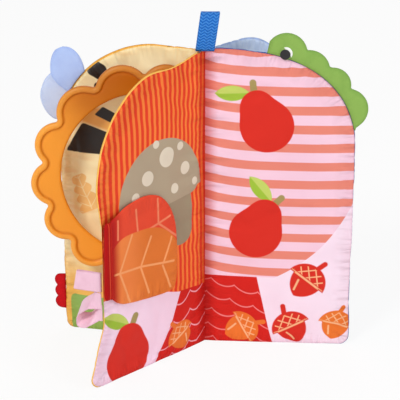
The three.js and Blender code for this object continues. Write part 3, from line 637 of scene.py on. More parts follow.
def leafEdge(leaf):
    width, root = leafSizes["width"], leafSizes["root"]
    run, rise, corner = leaf["archRun"], leaf["archRise"], leaf["corner"]
    foot = np.stack([np.linspace(root, width - corner, 60), np.zeros(60)], 1)
    turn = np.linspace(0, math.pi / 2, 12)
    bend = np.stack([width - corner + corner * np.sin(turn), corner - corner * np.cos(turn)], 1)
    bend[:, 0] -= waistAt(bend[:, 1], leaf) * np.linspace(0, 1, 12)
    z = np.linspace(corner, bookHeight - rise, 80)
    free = np.stack([width - waistAt(z, leaf), z], 1)
    power = 2 / leaf.get("square", 2)
    last = math.acos((max(10 - (width - run), 0) / run) ** (1 / power))
    turn = np.linspace(0, last, 90)
    x, z = width - run + run * np.cos(turn) ** power, bookHeight - rise + rise * np.sin(turn) ** power
    off = np.clip((x - leafSizes["dipPlace"]) / leafSizes["dipRun"], -1, 1)
    arch = np.stack([x - waistAt(z, leaf), z - leaf["dip"] * np.cos(off * math.pi / 2) ** 2], 1)
    top = np.array([[root, bookHeight - leafSizes["topDrop"]]])
    path = np.concatenate([foot, bend[1:], free[1:], arch[1:], top])
    keep = np.concatenate([[True], np.linalg.norm(np.diff(path, axis=0), axis=1) > 0.01])
    return path[keep]


def leafNet(leaf):
    sewn = evenly(leafEdge(leaf), leafSizes["step"])
    root = evenly(np.array([sewn[-1], sewn[0]]), leafSizes["step"])
    return fillShape(sewn, root, leafSizes["rings"], leafSizes["net"])


# Height of a leaf's cloth over its middle plane, before it is stuffed
def leafSwell(leaf, net, side):
    sizes = leafSizes
    x, z = net["flat"][:, 0], net["flat"][:, 1]
    inset = net["inset"]
    edge = sizes["edge"] * np.sqrt(crownShare(inset, sizes["edgeRun"]))
    spine = np.clip(x / 9, 0.1, 1)
    rootInset = np.clip((x - 8) / sizes["rootRun"], 0, 1)
    pad = sizes["crown"] * crownShare(inset, sizes["run"]) * (1 - (1 - rootInset) ** 1.6)
    seed = leaf["seed"] + side
    soft = noiseAt(net["flat"] * 0.028, seed + 3) * leaf["ease"] * smoothstep(inset, 3, 20) * smoothstep(x, 6, 26)
    drag = noiseAt(np.stack([x * 0.02, z * 0.085], 1), seed + 6) * 0.6
    drag *= smoothstep(x, 3, 9) * (1 - smoothstep(x, 16, 42))
    place = 7 + 1.6 * noiseAlong(net["along"], 0.03, seed + 12)
    channel = leaf["channel"] * np.exp(-((inset - place) / 2.2) ** 2) * smoothstep(x, 20, 50)
    channel *= 0.6 + 0.8 * noiseAlong(net["along"], 0.05, seed + 15)
    return np.maximum(edge * spine + pad + soft + drag - channel, 0.1 * np.minimum(inset, 1))


# Stuffs a closed pair of cloths; gives how far each point moved, in millimetres
def stuff(points, faces, held, setup):
    bag = meshPiece("stuffedBag", points * mm, faces, None)
    bag.vertex_groups.new(name="sewn").add([int(i) for i in np.nonzero(held)[0]], 1, "REPLACE")
    cloth = bag.modifiers.new("stuffing", "CLOTH")
    cloth.settings.vertex_group_mass = "sewn"
    cloth.settings.use_pressure = True
    cloth.settings.uniform_pressure_force = setup["pressure"]
    cloth.settings.shrink_min = -setup["larger"]
    cloth.settings.mass = setup["mass"]
    cloth.settings.tension_stiffness = setup["stretch"]
    cloth.settings.compression_stiffness = setup["stretch"]
    cloth.settings.shear_stiffness = setup["shear"]
    cloth.settings.bending_stiffness = setup["bend"]
    cloth.settings.effector_weights.gravity = 0
    cloth.collision_settings.use_collision = False
    cloth.point_cache.frame_start, cloth.point_cache.frame_end = 1, setup["frames"]
    for still in range(1, setup["frames"] + 1):
        scene.frame_set(still)
    swollen = bag.evaluated_get(bpy.context.evaluated_depsgraph_get())
    spots = np.empty(len(points) * 3)
    swollen.data.vertices.foreach_get("co", spots)
    mesh = bag.data
    bpy.data.objects.remove(bag)
    bpy.data.meshes.remove(mesh)
    scene.frame_set(1)
    return spots.reshape(-1, 3) / mm - points


# Keeps a number on each point of a mesh, for its finish
def keepMark(piece, name, values):
    piece.data.attributes.new(name, "FLOAT", "POINT").data.foreach_set("value", np.asarray(values, np.float32))


def addLeaf(name, leaf):
    net, sizes = leafNet(leaf), leafSizes
    flat, faces, border = net["flat"], net["faces"], net["border"]
    x, z = flat[:, 0], flat[:, 1]
    sway = noiseAlong(net["along"], 0.022, leaf["seed"] + 9) * 0.5
    sway = sway * (1 - smoothstep(net["inset"], 0, 25)) * smoothstep(x, 5, 30)
    seam = np.where(border, sizes["seamLift"] * smoothstep(x, 0, 9), 0)
    heights = [np.where(border, seam, leafSwell(leaf, net, 1)) + sway,
               np.where(border, seam, -leafSwell(leaf, net, -1)) + sway]
    count, inner = len(x), ~border
    backIndex = behind(border)
    moved = [np.zeros((count, 3)), np.zeros((count, 3))]
    moved[0][:, 1] = moved[1][:, 1] = 0.9 * smoothstep(net["inset"], 0, 20) * smoothstep(x, 8, 30)
    moved[1][:, 1] *= -1
    front = np.stack([x, heights[0], z], 1)
    back = np.stack([x, heights[1], z], 1)[inner]
    held = np.concatenate([border | (x < stuffing["hold"]), x[inner] < stuffing["hold"]])
    shift = stuff(np.concatenate([front, back]), np.concatenate([faces[:, ::-1], backIndex[faces]]), held,
                  dict(stuffing, larger=leaf["larger"]))
    shift *= stuffing["share"]
    length = np.linalg.norm(shift, axis=1)
    shift *= np.minimum(1, stuffing["most"] / np.maximum(length, 1e-6))[:, None]
    moved = [shift[:count], shift[backIndex]]
    loop = net["loop"]
    loose = 0.5 * (1 - smoothstep(net["inset"], 0, 14)) * smoothstep(x, 8, 30)
    wander = [noiseAlong(net["along"], 0.055, leaf["seed"] + shift) * loose for shift in (20, 40)]
    for i, (part, side, inside) in enumerate((("front", 1, "wadding"), ("back", -1, "hinge_tape"))):
        spots = np.stack([x, heights[i], z], 1) + moved[i]
        spots[:, 1] = side * np.clip(side * spots[:, 1], np.where(border, -1, 0.12), sizes["most"])
        spots[border, 1] = heights[0][border]
        spots[:, 0] += wander[0]
        spots[:, 2] += wander[1]
        # the back cloth rolls a little way round the seam
        if side < 0:
            rolled = inner & (net["inset"] < 0.9) & (x > 6)
            gap, run = nearPath(flat[rolled], loop)
            along = arcLengths(loop)
            nearest = np.stack([np.interp(run, along, loop[:, 0]), np.interp(run, along, loop[:, 1])], 1)
            out = (nearest - flat[rolled]) / np.maximum(gap, 1e-6)[:, None]
            low, high = leaf.get("hidden", (0, 0))
            up = z[rolled]
            roll = leaf["roll"] * (1 - smoothstep(up, low, low + 6) * (1 - smoothstep(up, high - 6, high)))
            spots[rolled, 0] += out[:, 0] * (gap + roll)
            spots[rolled, 2] += out[:, 1] * (gap + roll)
            spots[rolled, 1] = sway[rolled] - 0.05
        spots[:, 2] = np.maximum(spots[:, 2], 0)
        wound = faces if leaf["front"] * side < 0 else faces[:, ::-1]
        placed = onLeaf(leaf["degrees"], spots[:, 0], leaf["front"] * spots[:, 1], spots[:, 2])
        piece = meshPiece(f"{name}_{part}", placed, wound, finishes[leaf["finishes"][i]], flat)
        keepMark(piece, "seamRun", net["along"])
        keepMark(piece, "seamInset", net["inset"])
        dress(piece, name, (f"{name}_{part}_cloth", f"{name}_{inside}"))


for name, leaf in leaves.items():
    addLeaf(name, leaf)
    print(name, "made")


# Other finishes
# Felt: short matted fibres, with painted shade at its cut rim
def felt(name, colour, dark, look):
    finish = Finish(name)
    place = finish.solidPlace()
    fibres = finish.mottle(place, 2.2, 5, 0.7)
    patches = finish.mottle(place, 0.12, 3)
    paint = finish.lay(colour, dark, finish.range(patches, 0.4, 0.75, 0, look["mottle"]))
    paint = finish.lay(paint, dark, finish.range(fibres, 0.5, 0.78, 0, look["fleck"]))
    # painted shade: the felt darkens towards its cut rim
    paint = finish.lay(paint, dark, finish.mark("rim") * look["rim"])
    strands = finish.mottle(finish.stretched(place, (0.5, 2.4, 1), (0.3, 0.8, 0.5)), 1, 3, 0.6)
    normal = finish.bump(strands, 0.5, look["nap"], finish.bump(fibres, 0.55, look["nap"]))
    return finish.close(Base_Color=paint, Roughness=0.9 + (fibres - 0.5) * 0.15, Normal=normal, Sheen_Weight=0.06,
                        Sheen_Roughness=0.6, Specular_IOR_Level=0.06)


# Satin ribbon: fine ribs across, a woven edge and a soft gloss
def ribbon(name, colour, dark, look):
    finish = Finish(name)
    spot = finish.node("ShaderNodeUVMap", {"uv_map": "strip"}, {})
    across, along, _ = finish.parts(spot)
    ribs = (along * look["ribs"]).sine()
    uneven = finish.mottle(finish.solidPlace(), 0.09, 2)
    hem = finish.range(abs(across - 0.5), 0.44, 0.47)
    paint = finish.lay(colour, dark, finish.range(uneven, 0.4, 0.8, 0, 0.4))
    paint = finish.lay(paint, dark, hem * 0.35)
    normal = finish.bump(ribs + hem * 1.5, 0.3, look["depth"])
    return finish.close(Base_Color=paint, Roughness=look["roughness"] + (uneven - 0.5) * 0.2, Normal=normal,
                        Specular_IOR_Level=0.4)


# Webbing: a fine herringbone of yarns with corded edges
def webbing(name, colour, dark, light, look):
    finish = Finish(name)
    spot = finish.node("ShaderNodeUVMap", {"uv_map": "strip"}, {})
    across, along, _ = finish.parts(spot)
    fold = abs(finish.sum("FRACT", across * look["bones"]) - 0.5)
    yarn = ((along * look["rows"] + fold * look["slant"]) * fullTurn).sine() * 0.5 + 0.5
    furrow = finish.range(fold, 0.03, 0.0).most(finish.range(fold, 0.47, 0.5))
    cord = finish.range(abs(across - 0.5), 0.43, 0.47)
    fuzz = finish.mottle(finish.solidPlace(), 1.3, 4)
    # painted shade and painted highlight: the yarns are darker in their hollows and furrows and lighter on their crests
    paint = finish.lay(dark, colour, finish.range(yarn, 0.0, 0.75))
    paint = finish.lay(paint, light, finish.range(yarn, 0.6, 1) * 0.3)
    paint = finish.lay(paint, dark, furrow * 0.3)
    paint = finish.lay(paint, light, finish.range(fuzz, 0.5, 0.8, 0, 0.3))
    normal = finish.bump(yarn - furrow * 0.5 + cord + fuzz * 0.4, 0.7, look["depth"])
    return finish.close(Base_Color=paint, Roughness=0.66 + (fuzz - 0.5) * 0.2, Normal=normal,
                        Specular_IOR_Level=0.15)


# Soft moulded rubber with painted shade: bright at the free edge and the foot, deeper towards the spine and the top,
# darker in its groove, and with a painted highlight on the bead
def rubber(name, bright, deep, rimShadeInk, look):
    finish = Finish(name)
    place = finish.solidPlace()
    x, _, z = finish.parts(place)
    cloud = finish.mottle(place, 0.02, 2)
    height = z + x * look["lean"] + (cloud - 0.5) * 50
    # painted shade: the rubber deepens with height
    paint = finish.lay(bright, deep, finish.range(height, look["low"], look["high"]))
    rim = finish.mark("rim")
    # painted shade in the groove and at the rims
    paint = finish.lay(paint, rimShadeInk, rim * look["rim"])
    # painted highlight along the bead's crest
    paint = finish.lay(paint, look["glow"], finish.mark("bead") * look["bead"])
    grain = finish.mottle(place, 0.8, 3)
    normal = finish.bump(grain, 0.15, 0.2)
    return finish.close(Base_Color=paint, Roughness=look["roughness"] + (grain - 0.5) * 0.14, Normal=normal,
                        Specular_IOR_Level=0.25)


feltLook = {"mottle": 0.3, "fleck": 0.35, "rim": 0.5, "nap": 0.3}
finishes.update({
    "upperWing": felt("feltBlue", ink(184, 206, 252), ink(160, 184, 242), feltLook),
    "lowerWing": felt("feltLavender", ink(208, 222, 250), ink(186, 204, 244), feltLook),
    "comb": felt("feltRed", ink(212, 20, 30), ink(160, 8, 16), feltLook),
    "head": felt("feltGreen", ink(142, 180, 88), ink(114, 156, 70), dict(feltLook, fleck=0.5)),
    "ribbon": ribbon("ribbonPink", ink(244, 200, 218), ink(216, 160, 184),
                     {"ribs": 260, "depth": 0.08, "roughness": 0.36}),
    "webbing": webbing("webbingBlue", ink(40, 124, 212), ink(22, 96, 184), ink(110, 168, 228),
                       {"bones": 3, "rows": 50, "slant": 1.5, "depth": 0.35}),
    # the mane's second colour is painted shade towards the top, the third is painted shade in the groove, and glow is a
    # painted highlight on the bead
    "mane": rubber("maneOrange", ink(255, 164, 50), ink(188, 98, 2), ink(190, 96, 4),
                   {"low": 95, "high": 175, "lean": 0.5, "rim": 0.5, "bead": 0.25, "glow": ink(255, 190, 96),
                    "roughness": 0.4}),
})


def plainFinish(name, colour, roughness, nap):
    finish = Finish(name)
    place = finish.solidPlace()
    grain = finish.mottle(place, 1.4, 3)
    paint = finish.lay(colour, (0, 0, 0, 1), finish.range(grain, 0.4, 0.8, 0, 0.12))
    return finish.close(Base_Color=paint, Roughness=roughness + (grain - 0.5) * 0.1,
                        Normal=finish.bump(grain, 0.3, nap))


finishes["eyeBlack"] = plainFinish("eyeBlack", ink(20, 16, 18), 0.45, 0.08)


# The eye's disc is felt green but for a white crescent at its upper side
def eyeFinish(low, high):
    finish = Finish("eyeWhite")
    place = finish.solidPlace()
    x, _, z = finish.parts(place)
    middle = (low + high) / 2 / mm
    slant = (x - middle.x) * 0.8 + (z - middle.z) * 0.6
    grain = finish.mottle(place, 1.4, 3)
    paint = finish.lay(ink(142, 180, 88), ink(252, 252, 248), finish.inside(1.4 - slant, 0.3))
    return finish.close(Base_Color=paint, Roughness=0.6 + (grain - 0.5) * 0.1, Normal=finish.bump(grain, 0.3, 0.08))


finishes["eyeWhite"] = eyeFinish(*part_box("eye_white"))
print("other finishes made")


# Flat pieces with a rounded rim, cut from felt
def addCut(name, outline, degrees, middle, look, finish):
    outline = evenly(np.concatenate([outline, outline[:1]]), look["step"])[:-1]
    net = fillShape(outline, [], look["rings"], look["net"])
    inset = np.where(net["border"], 0, net["inset"])
    half = look["thickness"] / 2
    swell = half * np.sqrt(crownShare(inset, look["round"]))
    swell += look["puff"] * smoothstep(inset, 0, look["puffRun"])
    swell += noiseAt(net["flat"] * 0.11, middle + 4) * look["uneven"] * smoothstep(inset, 0.5, 4)
    swell = np.where(net["border"], 0, np.maximum(swell, 0.05))
    x, z = net["flat"][:, 0], net["flat"][:, 1]
    front = onLeaf(degrees, x, middle + swell, z)
    inner = ~net["border"]
    back = onLeaf(degrees, x[inner], middle - swell[inner], z[inner])
    points = np.concatenate([front, back])
    faces = np.concatenate([net["faces"][:, ::-1], behind(net["border"])[net["faces"]]])
    leafMap = np.concatenate([net["flat"], net["flat"][inner]])
    piece = meshPiece(name, points, faces, finish, leafMap)
    # rim: the share of painted shade at a felt piece's rim
    rim = 1 - smoothstep(inset, 0, look["rimRun"])
    keepMark(piece, "rim", np.concatenate([rim, rim[inner]]))
    return piece


def archPlace(leaf, degrees):
    width, run, rise = leafSizes["width"], leaf["archRun"], leaf["archRise"]
    turn = math.radians(degrees)
    point = np.array([width - run + run * math.cos(turn), bookHeight - rise + rise * math.sin(turn)])
    out = np.array([math.cos(turn) / run, math.sin(turn) / rise])
    return point, out / np.linalg.norm(out)


feltSheet = {"step": 1.2, "rings": (0.35, 0.8), "net": 1.6, "thickness": 1.6, "round": 0.8, "puff": 0.15,
             "puffRun": 5, "uneven": 0.18, "rimRun": 2.2}
clearOfArch = 1.0125
wings = {
    "upper_wing": {"layer": 1, "finish": "upperWing", "slot": "felt_blue",
                   "points": [(101.7, 216), (107.7, 212.8), (110.9, 205.5), (111.3, 196.8), (108.6, 191.2),
                              (102.1, 185.7), (95.6, 182.5), (90.9, 189.3), (86.2, 198.3), (88.1, 206.8),
                              (91.6, 212.3), (96.6, 215.6)]},
    "lower_wing": {"layer": -1, "finish": "lowerWing", "slot": "felt_lavender",
                   "points": [(112.1, 196), (116.8, 190.7), (120.2, 181.7), (119.8, 174.4), (116.3, 167.2),
                              (110.5, 162.4), (104.5, 163.6), (98.9, 172.8), (94.9, 181.8), (102.1, 187.2),
                              (107.8, 192.7)]},
}


def addWing(name, wing):
    cover = leaves["front_cover"]
    points = wing["points"]
    outline = curve(points + points[:1], 90)[:-1]
    centre = np.array([leafSizes["width"] - cover["archRun"], bookHeight - cover["archRise"]])
    away = (outline - centre) / np.array([cover["archRun"], cover["archRise"]])
    share = np.linalg.norm(away, axis=1)
    outline = centre + (outline - centre) * np.maximum(1, clearOfArch / share)[:, None]
    piece = addCut(name + "_felt", outline, cover["degrees"], wing["layer"], feltSheet, finishes[wing["finish"]])
    dress(piece, name, [name])


for name, wing in wings.items():
    addWing(name, wing)


# A felt edging: its inner side lies on the leaf's edge and round bumps make its outer side
def edging(points, outs, bumps, least):
    reach = np.full(len(points), least, float)
    for centre, radius in bumps:
        toward = np.array(centre) - points
        along = (toward * outs).sum(1)
        clear = radius ** 2 - ((toward ** 2).sum(1) - along ** 2)
        reach = np.where(clear > 0, np.maximum(reach, along + np.sqrt(np.maximum(clear, 0))), reach)
    return np.concatenate([points + outs * 0.3, (points + outs * reach[:, None])[::-1]])


head = {"bumps": [(63.65, 6.58, 14.3), (52.44, 3.99, 14.4), (41.15, 6.97, 12.6), (29.54, 4.81, 14.6)],
        "start": 71, "end": 19.5, "archRun": 96, "archRise": 86.7}
leastEdging = 1.6
headSheet = dict(feltSheet, thickness=2.5, round=1.1, puff=0.35, rings=(0.4, 1.0))


def addHead(setup):
    page = dict(leaves["right_leaf"], archRun=setup["archRun"], archRise=setup["archRise"])
    edge = leafEdge(leaves["right_leaf"])
    steps = np.diff(edge, axis=0)
    outs = np.stack([steps[:, 1], -steps[:, 0]], 1) / np.linalg.norm(steps, axis=1)[:, None]
    points = (edge[1:] + edge[:-1]) / 2
    first, last = archPlace(page, setup["end"])[0], archPlace(page, setup["start"])[0]
    sewn = (points[:, 1] > first[1]) & (points[:, 0] > last[0])
    points, outs = points[sewn][::-1], outs[sewn][::-1]
    bumps = []
    for degrees, away, radius in setup["bumps"]:
        point, out = archPlace(page, degrees)
        bumps.append((point + out * away, radius))
    outline = edging(points, outs, bumps, leastEdging)
    piece = addCut("green_head_felt", outline, page["degrees"], 0, headSheet, finishes["head"])
    dress(piece, "right_leaf", ["green_head"])
    for node, finish in (("eye_white", "eyeWhite"), ("eye_pupil", "eyeBlack")):
        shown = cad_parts[node]
        shown.data.materials.clear()
        shown.data.materials.append(finishes[finish])


addHead(head)
comb = {"foot": 15, "radius": 5.4, "pitch": 8.7, "count": 3, "out": 3.6}


def addComb(setup):
    width = leafSizes["width"]
    top = setup["foot"] + 2 * setup["radius"] + (setup["count"] - 1) * setup["pitch"]
    z = np.linspace(top, setup["foot"], 60)
    points = np.stack([np.full(60, float(width)), z], 1)
    outs = np.tile([1.0, 0.0], (60, 1))
    bumps = [((width + setup["out"], setup["foot"] + setup["radius"] + i * setup["pitch"]), setup["radius"])
             for i in range(setup["count"])]
    outline = edging(points, outs, bumps, leastEdging)
    piece = addCut("red_comb_felt", outline, leaves["front_cover"]["degrees"], 0, feltSheet, finishes["comb"])
    dress(piece, "front_cover", ["red_comb"])


addComb(comb)
print("felt pieces made")


# Moulded frame page
mane = {"degrees": 181, "centre": (41.2, 128.8), "valley": 72, "rise": 9.5, "band": 12, "fillet": 2, "root": 10,
        "valleys": (116, 89.7, 61.6, 32.9, 7.6, -17.4, -41.2, -66, -91, -116), "lobeSteps": 22, "filletSteps": 8,
        "rootRun": 16, "rootShare": 0.28, "field": 6.2,
        "rim": ((0, 0.75), (0.25, 1.5), (0.8, 2.15), (1.5, 2.5), (2.3, 2.68), (3.1, 2.66), (3.7, 2.5), (4.15, 2.1),
                (4.5, 1.5), (5.0, 1.3), (5.6, 1.36), (6.2, 1.55), (7.2, 1.62)),
        "window": ((3.2, 1.64), (1.8, 1.6), (1.0, 1.5), (0.4, 1.2), (0, 0.7))}


def maneEdge(setup):
    centre = np.array(setup["centre"])
    valley, crest = setup["valley"], setup["valley"] + setup["rise"]
    lobes = []
    for high, low in zip(setup["valleys"], setup["valleys"][1:]):
        middle, half = math.radians((high + low) / 2), math.radians((high - low) / 2)
        out = (crest ** 2 - valley ** 2) / (2 * (crest - valley * math.cos(half)))
        lobes.append((centre + out * np.array([math.cos(middle), math.sin(middle)]), crest - out, middle))
    fillets = []
    for (a, ra, _), (b, rb, _) in zip(lobes, lobes[1:]):
        ra, rb = ra + setup["fillet"], rb + setup["fillet"]
        gap = np.linalg.norm(b - a)
        along = (gap ** 2 + ra ** 2 - rb ** 2) / (2 * gap)
        across = math.sqrt(max(ra ** 2 - along ** 2, 0))
        unit = (b - a) / gap
        side = np.array([-unit[1], unit[0]])
        options = [a + unit * along + side * across, a + unit * along - side * across]
        fillets.append(max(options, key=lambda p: np.linalg.norm(p - centre)))

    def bearing(start, end):
        return math.atan2(end[1] - start[1], end[0] - start[0])

    def near(angle, reference):
        return angle - 2 * math.pi * round((angle - reference) / (2 * math.pi))

    places = []
    for i, (middle, radius, facing) in enumerate(lobes):
        rootTurn = math.acos(max(-1, min(1, (setup["root"] - middle[0]) / radius)))
        start = rootTurn if i == 0 else near(bearing(middle, fillets[i - 1]), facing)
        end = -rootTurn if i == len(lobes) - 1 else near(bearing(middle, fillets[i]), facing)
        for step in range(setup["lobeSteps"] + 1):
            turn = start + (end - start) * step / setup["lobeSteps"]
            out = np.array([math.cos(turn), math.sin(turn)])
            first, last = i == 0 and step == 0, i == len(lobes) - 1 and step == setup["lobeSteps"]
            inward = np.array([0.0, -1.0 if first else 1.0]) if first or last else -out
            places.append((middle + out * radius, inward, first or last))
        if i == len(lobes) - 1:
            break
        begin = bearing(fillets[i], middle)
        finishTurn = near(bearing(fillets[i], lobes[i + 1][0]), begin + math.pi / 2)
        for step in range(1, setup["filletSteps"]):
            turn = begin + (finishTurn - begin) * step / setup["filletSteps"]
            inward = np.array([math.cos(turn), math.sin(turn)])
            places.append((fillets[i] + inward * setup["fillet"], inward, False))
    return places


def addMane(setup):
    centre = np.array(setup["centre"])
    window = setup["valley"] - setup["band"]
    rows, rimShades, beadHighlights = [], [], []
    for point, inward, atRoot in maneEdge(setup):
        field = point + inward * setup["field"]
        toward = (field - centre) / np.linalg.norm(field - centre)
        hole = centre + toward * window
        if atRoot:
            rise = math.sqrt(window ** 2 - (centre[0] - setup["root"]) ** 2)
            hole = np.array([setup["root"], centre[1] + rise * np.sign(point[1] - centre[1])])
        outward = (field - hole) / np.linalg.norm(field - hole)
        profile = [(point + inward * d, h) for d, h in setup["rim"]] + [(hole + outward * d, h)
                                                                       for d, h in setup["window"]]
        row = []
        for side in (1, -1):
            for place, half in (profile if side > 0 else profile[::-1]):
                root = np.clip(setup["rootShare"] + (1 - setup["rootShare"]) * (place[0] - setup["root"])
                               / setup["rootRun"], setup["rootShare"], 1)
                row.append((place[0], side * half * root, place[1]))
        rows.append(row)
        # marks: share of painted shade across the section, most in the groove; the next list: share of painted
        # highlight on the bead's crest
        marks = [0.5, 0.2, 0, 0, 0, 0, 0.1, 0.5, 1.0, 1.0, 0.5, 0.1, 0] + [0, 0, 0.1, 0.3, 0.5]
        highlight = [0.2, 0.6, 1, 1, 1, 0.9, 0.6, 0.2, 0, 0, 0, 0, 0] + [0, 0, 0, 0, 0]
        rimShades += marks + marks[::-1]
        beadHighlights += highlight + highlight[::-1]
    rows = np.array(rows)
    count, width = rows.shape[:2]
    flat = rows.reshape(-1, 3)
    points = onLeaf(setup["degrees"], flat[:, 0], flat[:, 1], flat[:, 2])
    faces = [(i * width + j, (i + 1) * width + j, (i + 1) * width + (j + 1) % width, i * width + (j + 1) % width)
             for i in range(count - 1) for j in range(width)]
    faces += [tuple(range(width)), tuple((count - 1) * width + j for j in range(width))[::-1]]
    piece = meshPiece("mane_moulding", points, faces, finishes["mane"], flat[:, [0, 2]])
    keepMark(piece, "rim", rimShades)
    keepMark(piece, "bead", beadHighlights)
    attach(piece, "mane")
    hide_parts("mane_frame")
    # a cloth tab at each root runs from the spine over the moulding's end
    for node in ("mane_upper_tape", "mane_lower_tape"):
        low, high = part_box(node)
        outline = np.array([[0.8, low.z / mm], [17, low.z / mm + 0.5], [17, high.z / mm - 0.5], [0.8, high.z / mm]])
        sheet = dict(feltSheet, thickness=1.9, round=0.6, puff=0.15, step=1.4)
        tab = addCut(node + "_tab", outline, setup["degrees"], 0, sheet, finishes["leftBack"])
        dress(tab, "mane", [node])


addMane(mane)
print("moulded page made")


# Spine: the bundle of seam allowances, seen from behind and above
spine = {"radius": 4, "from": 40, "to": 177, "foot": 0, "top": 217.6}


def addSpine(setup):
    turns = np.radians(np.linspace(setup["from"], setup["to"], 24))
    heights = np.linspace(setup["foot"], setup["top"], 60)
    middle = math.radians((setup["from"] + setup["to"]) / 2)
    ring = [(0.3 * math.cos(middle), 0.3 * math.sin(middle))] + [(math.cos(t), math.sin(t)) for t in turns]
    points, leafMap = [], []
    for z in heights:
        swell = setup["radius"] * (1 + 0.02 * noise.noise(Vector((0, 0, z * 0.09))))
        for k, (x, y) in enumerate(ring):
            points.append((x * swell * mm, y * swell * mm, z * mm))
            leafMap.append((k * 0.5, z))
    piece = meshPiece("spine_binding", points, tubeFaces(len(heights), len(ring)), finishes["backCoverFront"],
                      np.array(leafMap))
    dress(piece, "spine", ["spine_core"])


addSpine(spine)


# Ribbons and webbing: a band with its width turned along the way
def bandMesh(path, across, width, thickness, finer=3):
    stops = np.linspace(0, len(path) - 1, (len(path) - 1) * finer + 1)
    index = np.arange(len(path))
    path = np.stack([np.interp(stops, index, path[:, k]) for k in range(3)], 1)
    across = np.stack([np.interp(stops, index, across[:, k]) for k in range(3)], 1)
    along = np.gradient(path, axis=0)
    along /= np.linalg.norm(along, axis=1)[:, None]
    wide = across / np.linalg.norm(across, axis=1)[:, None]
    thick = np.cross(wide, along)
    thick /= np.linalg.norm(thick, axis=1)[:, None]
    run = arcLengths(path)
    shares = [-1, -0.97, -0.9, -0.6, -0.3, 0, 0.3, 0.6, 0.9, 0.97, 1]
    bulge = [0.35, 0.85, 1.1, 0.95, 0.95, 0.95, 0.95, 0.95, 1.1, 0.85, 0.35]
    points, strip = [], []
    for i in range(len(path)):
        for side in (1, -1):
            order = range(len(shares)) if side > 0 else reversed(range(len(shares)))
            for k in order:
                points.append(path[i] + wide[i] * shares[k] * width / 2 + thick[i] * side * bulge[k] * thickness / 2)
                strip.append((shares[k] / 2 + 0.5, run[i] / width / 8))
    return np.array(points), tubeFaces(len(path), 2 * len(shares)), np.array(strip), run[-1]


def addBand(name, path, across, look, finish, toFrame):
    points, faces, strip, run = bandMesh(path, across, look["width"], look["thickness"])
    piece = meshPiece(name, toFrame(points), faces, finish)
    keepMap(piece.data, "strip", strip)
    run * mm
    return piece


tags = {"turn": -65, "seat": 1.3, "footOffset": 0.5,
        "upper": {"z": 76.5, "reach": 18.8, "width": 14, "bulge": 1.5, "slant": -0.2, "thickness": 0.6,
                  "held": "folded", "rests": ["left_leaf_front"]},
        "lower": {"z": 58.5, "reach": 17, "width": 12, "foot": 4.5, "spread": 7.5, "twist": 50, "droop": 0.45,
                  "thickness": 0.6, "held": "folded", "rests": ["left_leaf_front"]}}


def addTags(setup):
    turn = math.pi * np.linspace(0, 1, 21)
    opening, side = np.sin(turn), np.cos(turn)
    opening[-1] = 0
    hinge = leafSizes["width"] - leaves["left_leaf"]["waist"] + setup["seat"]
    out = opening ** 0.6

    def placed(z):
        def toFrame(points):
            local = math.radians(setup["turn"])
            x = hinge + points[:, 0] * math.cos(local) - points[:, 1] * math.sin(local)
            n = points[:, 0] * math.sin(local) + points[:, 1] * math.cos(local)
            return onLeaf(leaves["left_leaf"]["degrees"], x, n, z + points[:, 2])
        return toFrame

    up = setup["upper"]
    bulge = setup["footOffset"] + (up["bulge"] - setup["footOffset"]) * opening
    path = np.stack([up["reach"] * out, bulge * np.sign(side) * np.abs(side) ** 0.5, 0 * side], 1)
    across = np.stack([up["slant"] * out, 0 * out, 0 * out + 1], 1)
    upper = addBand("upper_tag_ribbon", path, across, up, finishes["ribbon"], placed(up["z"]))
    low = setup["lower"]
    widen = smoothstep(opening, 0.08, 0.6)
    around = np.sign(side) * np.abs(side) ** 0.6
    twist = math.radians(low["twist"]) * smoothstep(opening, 0.15, 0.5)
    spread = low["foot"] + (low["spread"] - low["foot"]) * widen
    path = np.stack([low["reach"] * opening, setup["footOffset"] * around,
                     spread * around - low["droop"] * low["reach"] * opening * widen], 1)
    across = np.stack([0 * twist, -np.sin(twist), np.cos(twist)], 1)
    lower = addBand("lower_tag_ribbon", path, across, low, finishes["ribbon"], placed(low["z"]))
    for piece, body in ((upper, "upper_tag"), (lower, "lower_tag")):
        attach(piece, body)
        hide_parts(body)


addTags(tags)
loop = {"width": 13, "height": 24.5, "thickness": 1.3, "opening": 5.5, "neck": 0.75, "lean": 8, "depth": 1.6,
        "hinge": 219.876, "held": "folded", "rests": ["spine_binding"]}


def addLoop(setup):
    turn = math.pi * np.linspace(0, 1, 22)
    rise, side = np.sin(turn), np.cos(turn)
    rise[-1] = 0
    spread = setup["neck"] + (setup["opening"] - setup["neck"]) * rise ** 0.5
    y = spread * np.sign(side) * np.abs(side) ** 0.55
    z = (setup["height"] + setup["depth"]) * rise ** 0.75 - setup["depth"]
    path = np.stack([0 * y, y, z], 1)
    across = np.tile([1.0, 0, 0], (22, 1))
    lean = math.tan(math.radians(setup["lean"]))

    def toFrame(points):
        leaned = np.stack([points[:, 0] + lean * points[:, 2], points[:, 1], points[:, 2] + setup["hinge"]], 1)
        return leaned * mm

    piece = addBand("hang_loop_webbing", path, across, setup, finishes["webbing"], toFrame)
    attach(piece, "loop")
    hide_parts("hang_loop")


addLoop(loop)
print("ribbons and webbing made")


# Leaf-shaped flap with its rolled hinge edge
flap = {"width": 60, "height": 76, "foot": 54, "hinge": 95.5, "plane": 5, "roll": 1.5,
        "top": [[0, 0.862], [0.117, 0.912], [0.228, 0.959], [0.36, 0.985], [0.51, 1], [0.645, 0.988], [0.76, 0.95],
                [0.855, 0.878], [0.93, 0.778], [0.975, 0.66], [0.992, 0.53]],
        "low": [[1, 0.41], [1, 0.16], [0.965, 0.043], [0.857, 0.002], [0.64, 0.005], [0.44, 0.018], [0.25, 0.036],
                [0.158, 0.052], [0.067, 0.09], [0, 0.142]],
        "step": 1.5, "rings": (0.4, 1.0, 2.0, 3.4), "net": 2.0, "curl": 0.9}
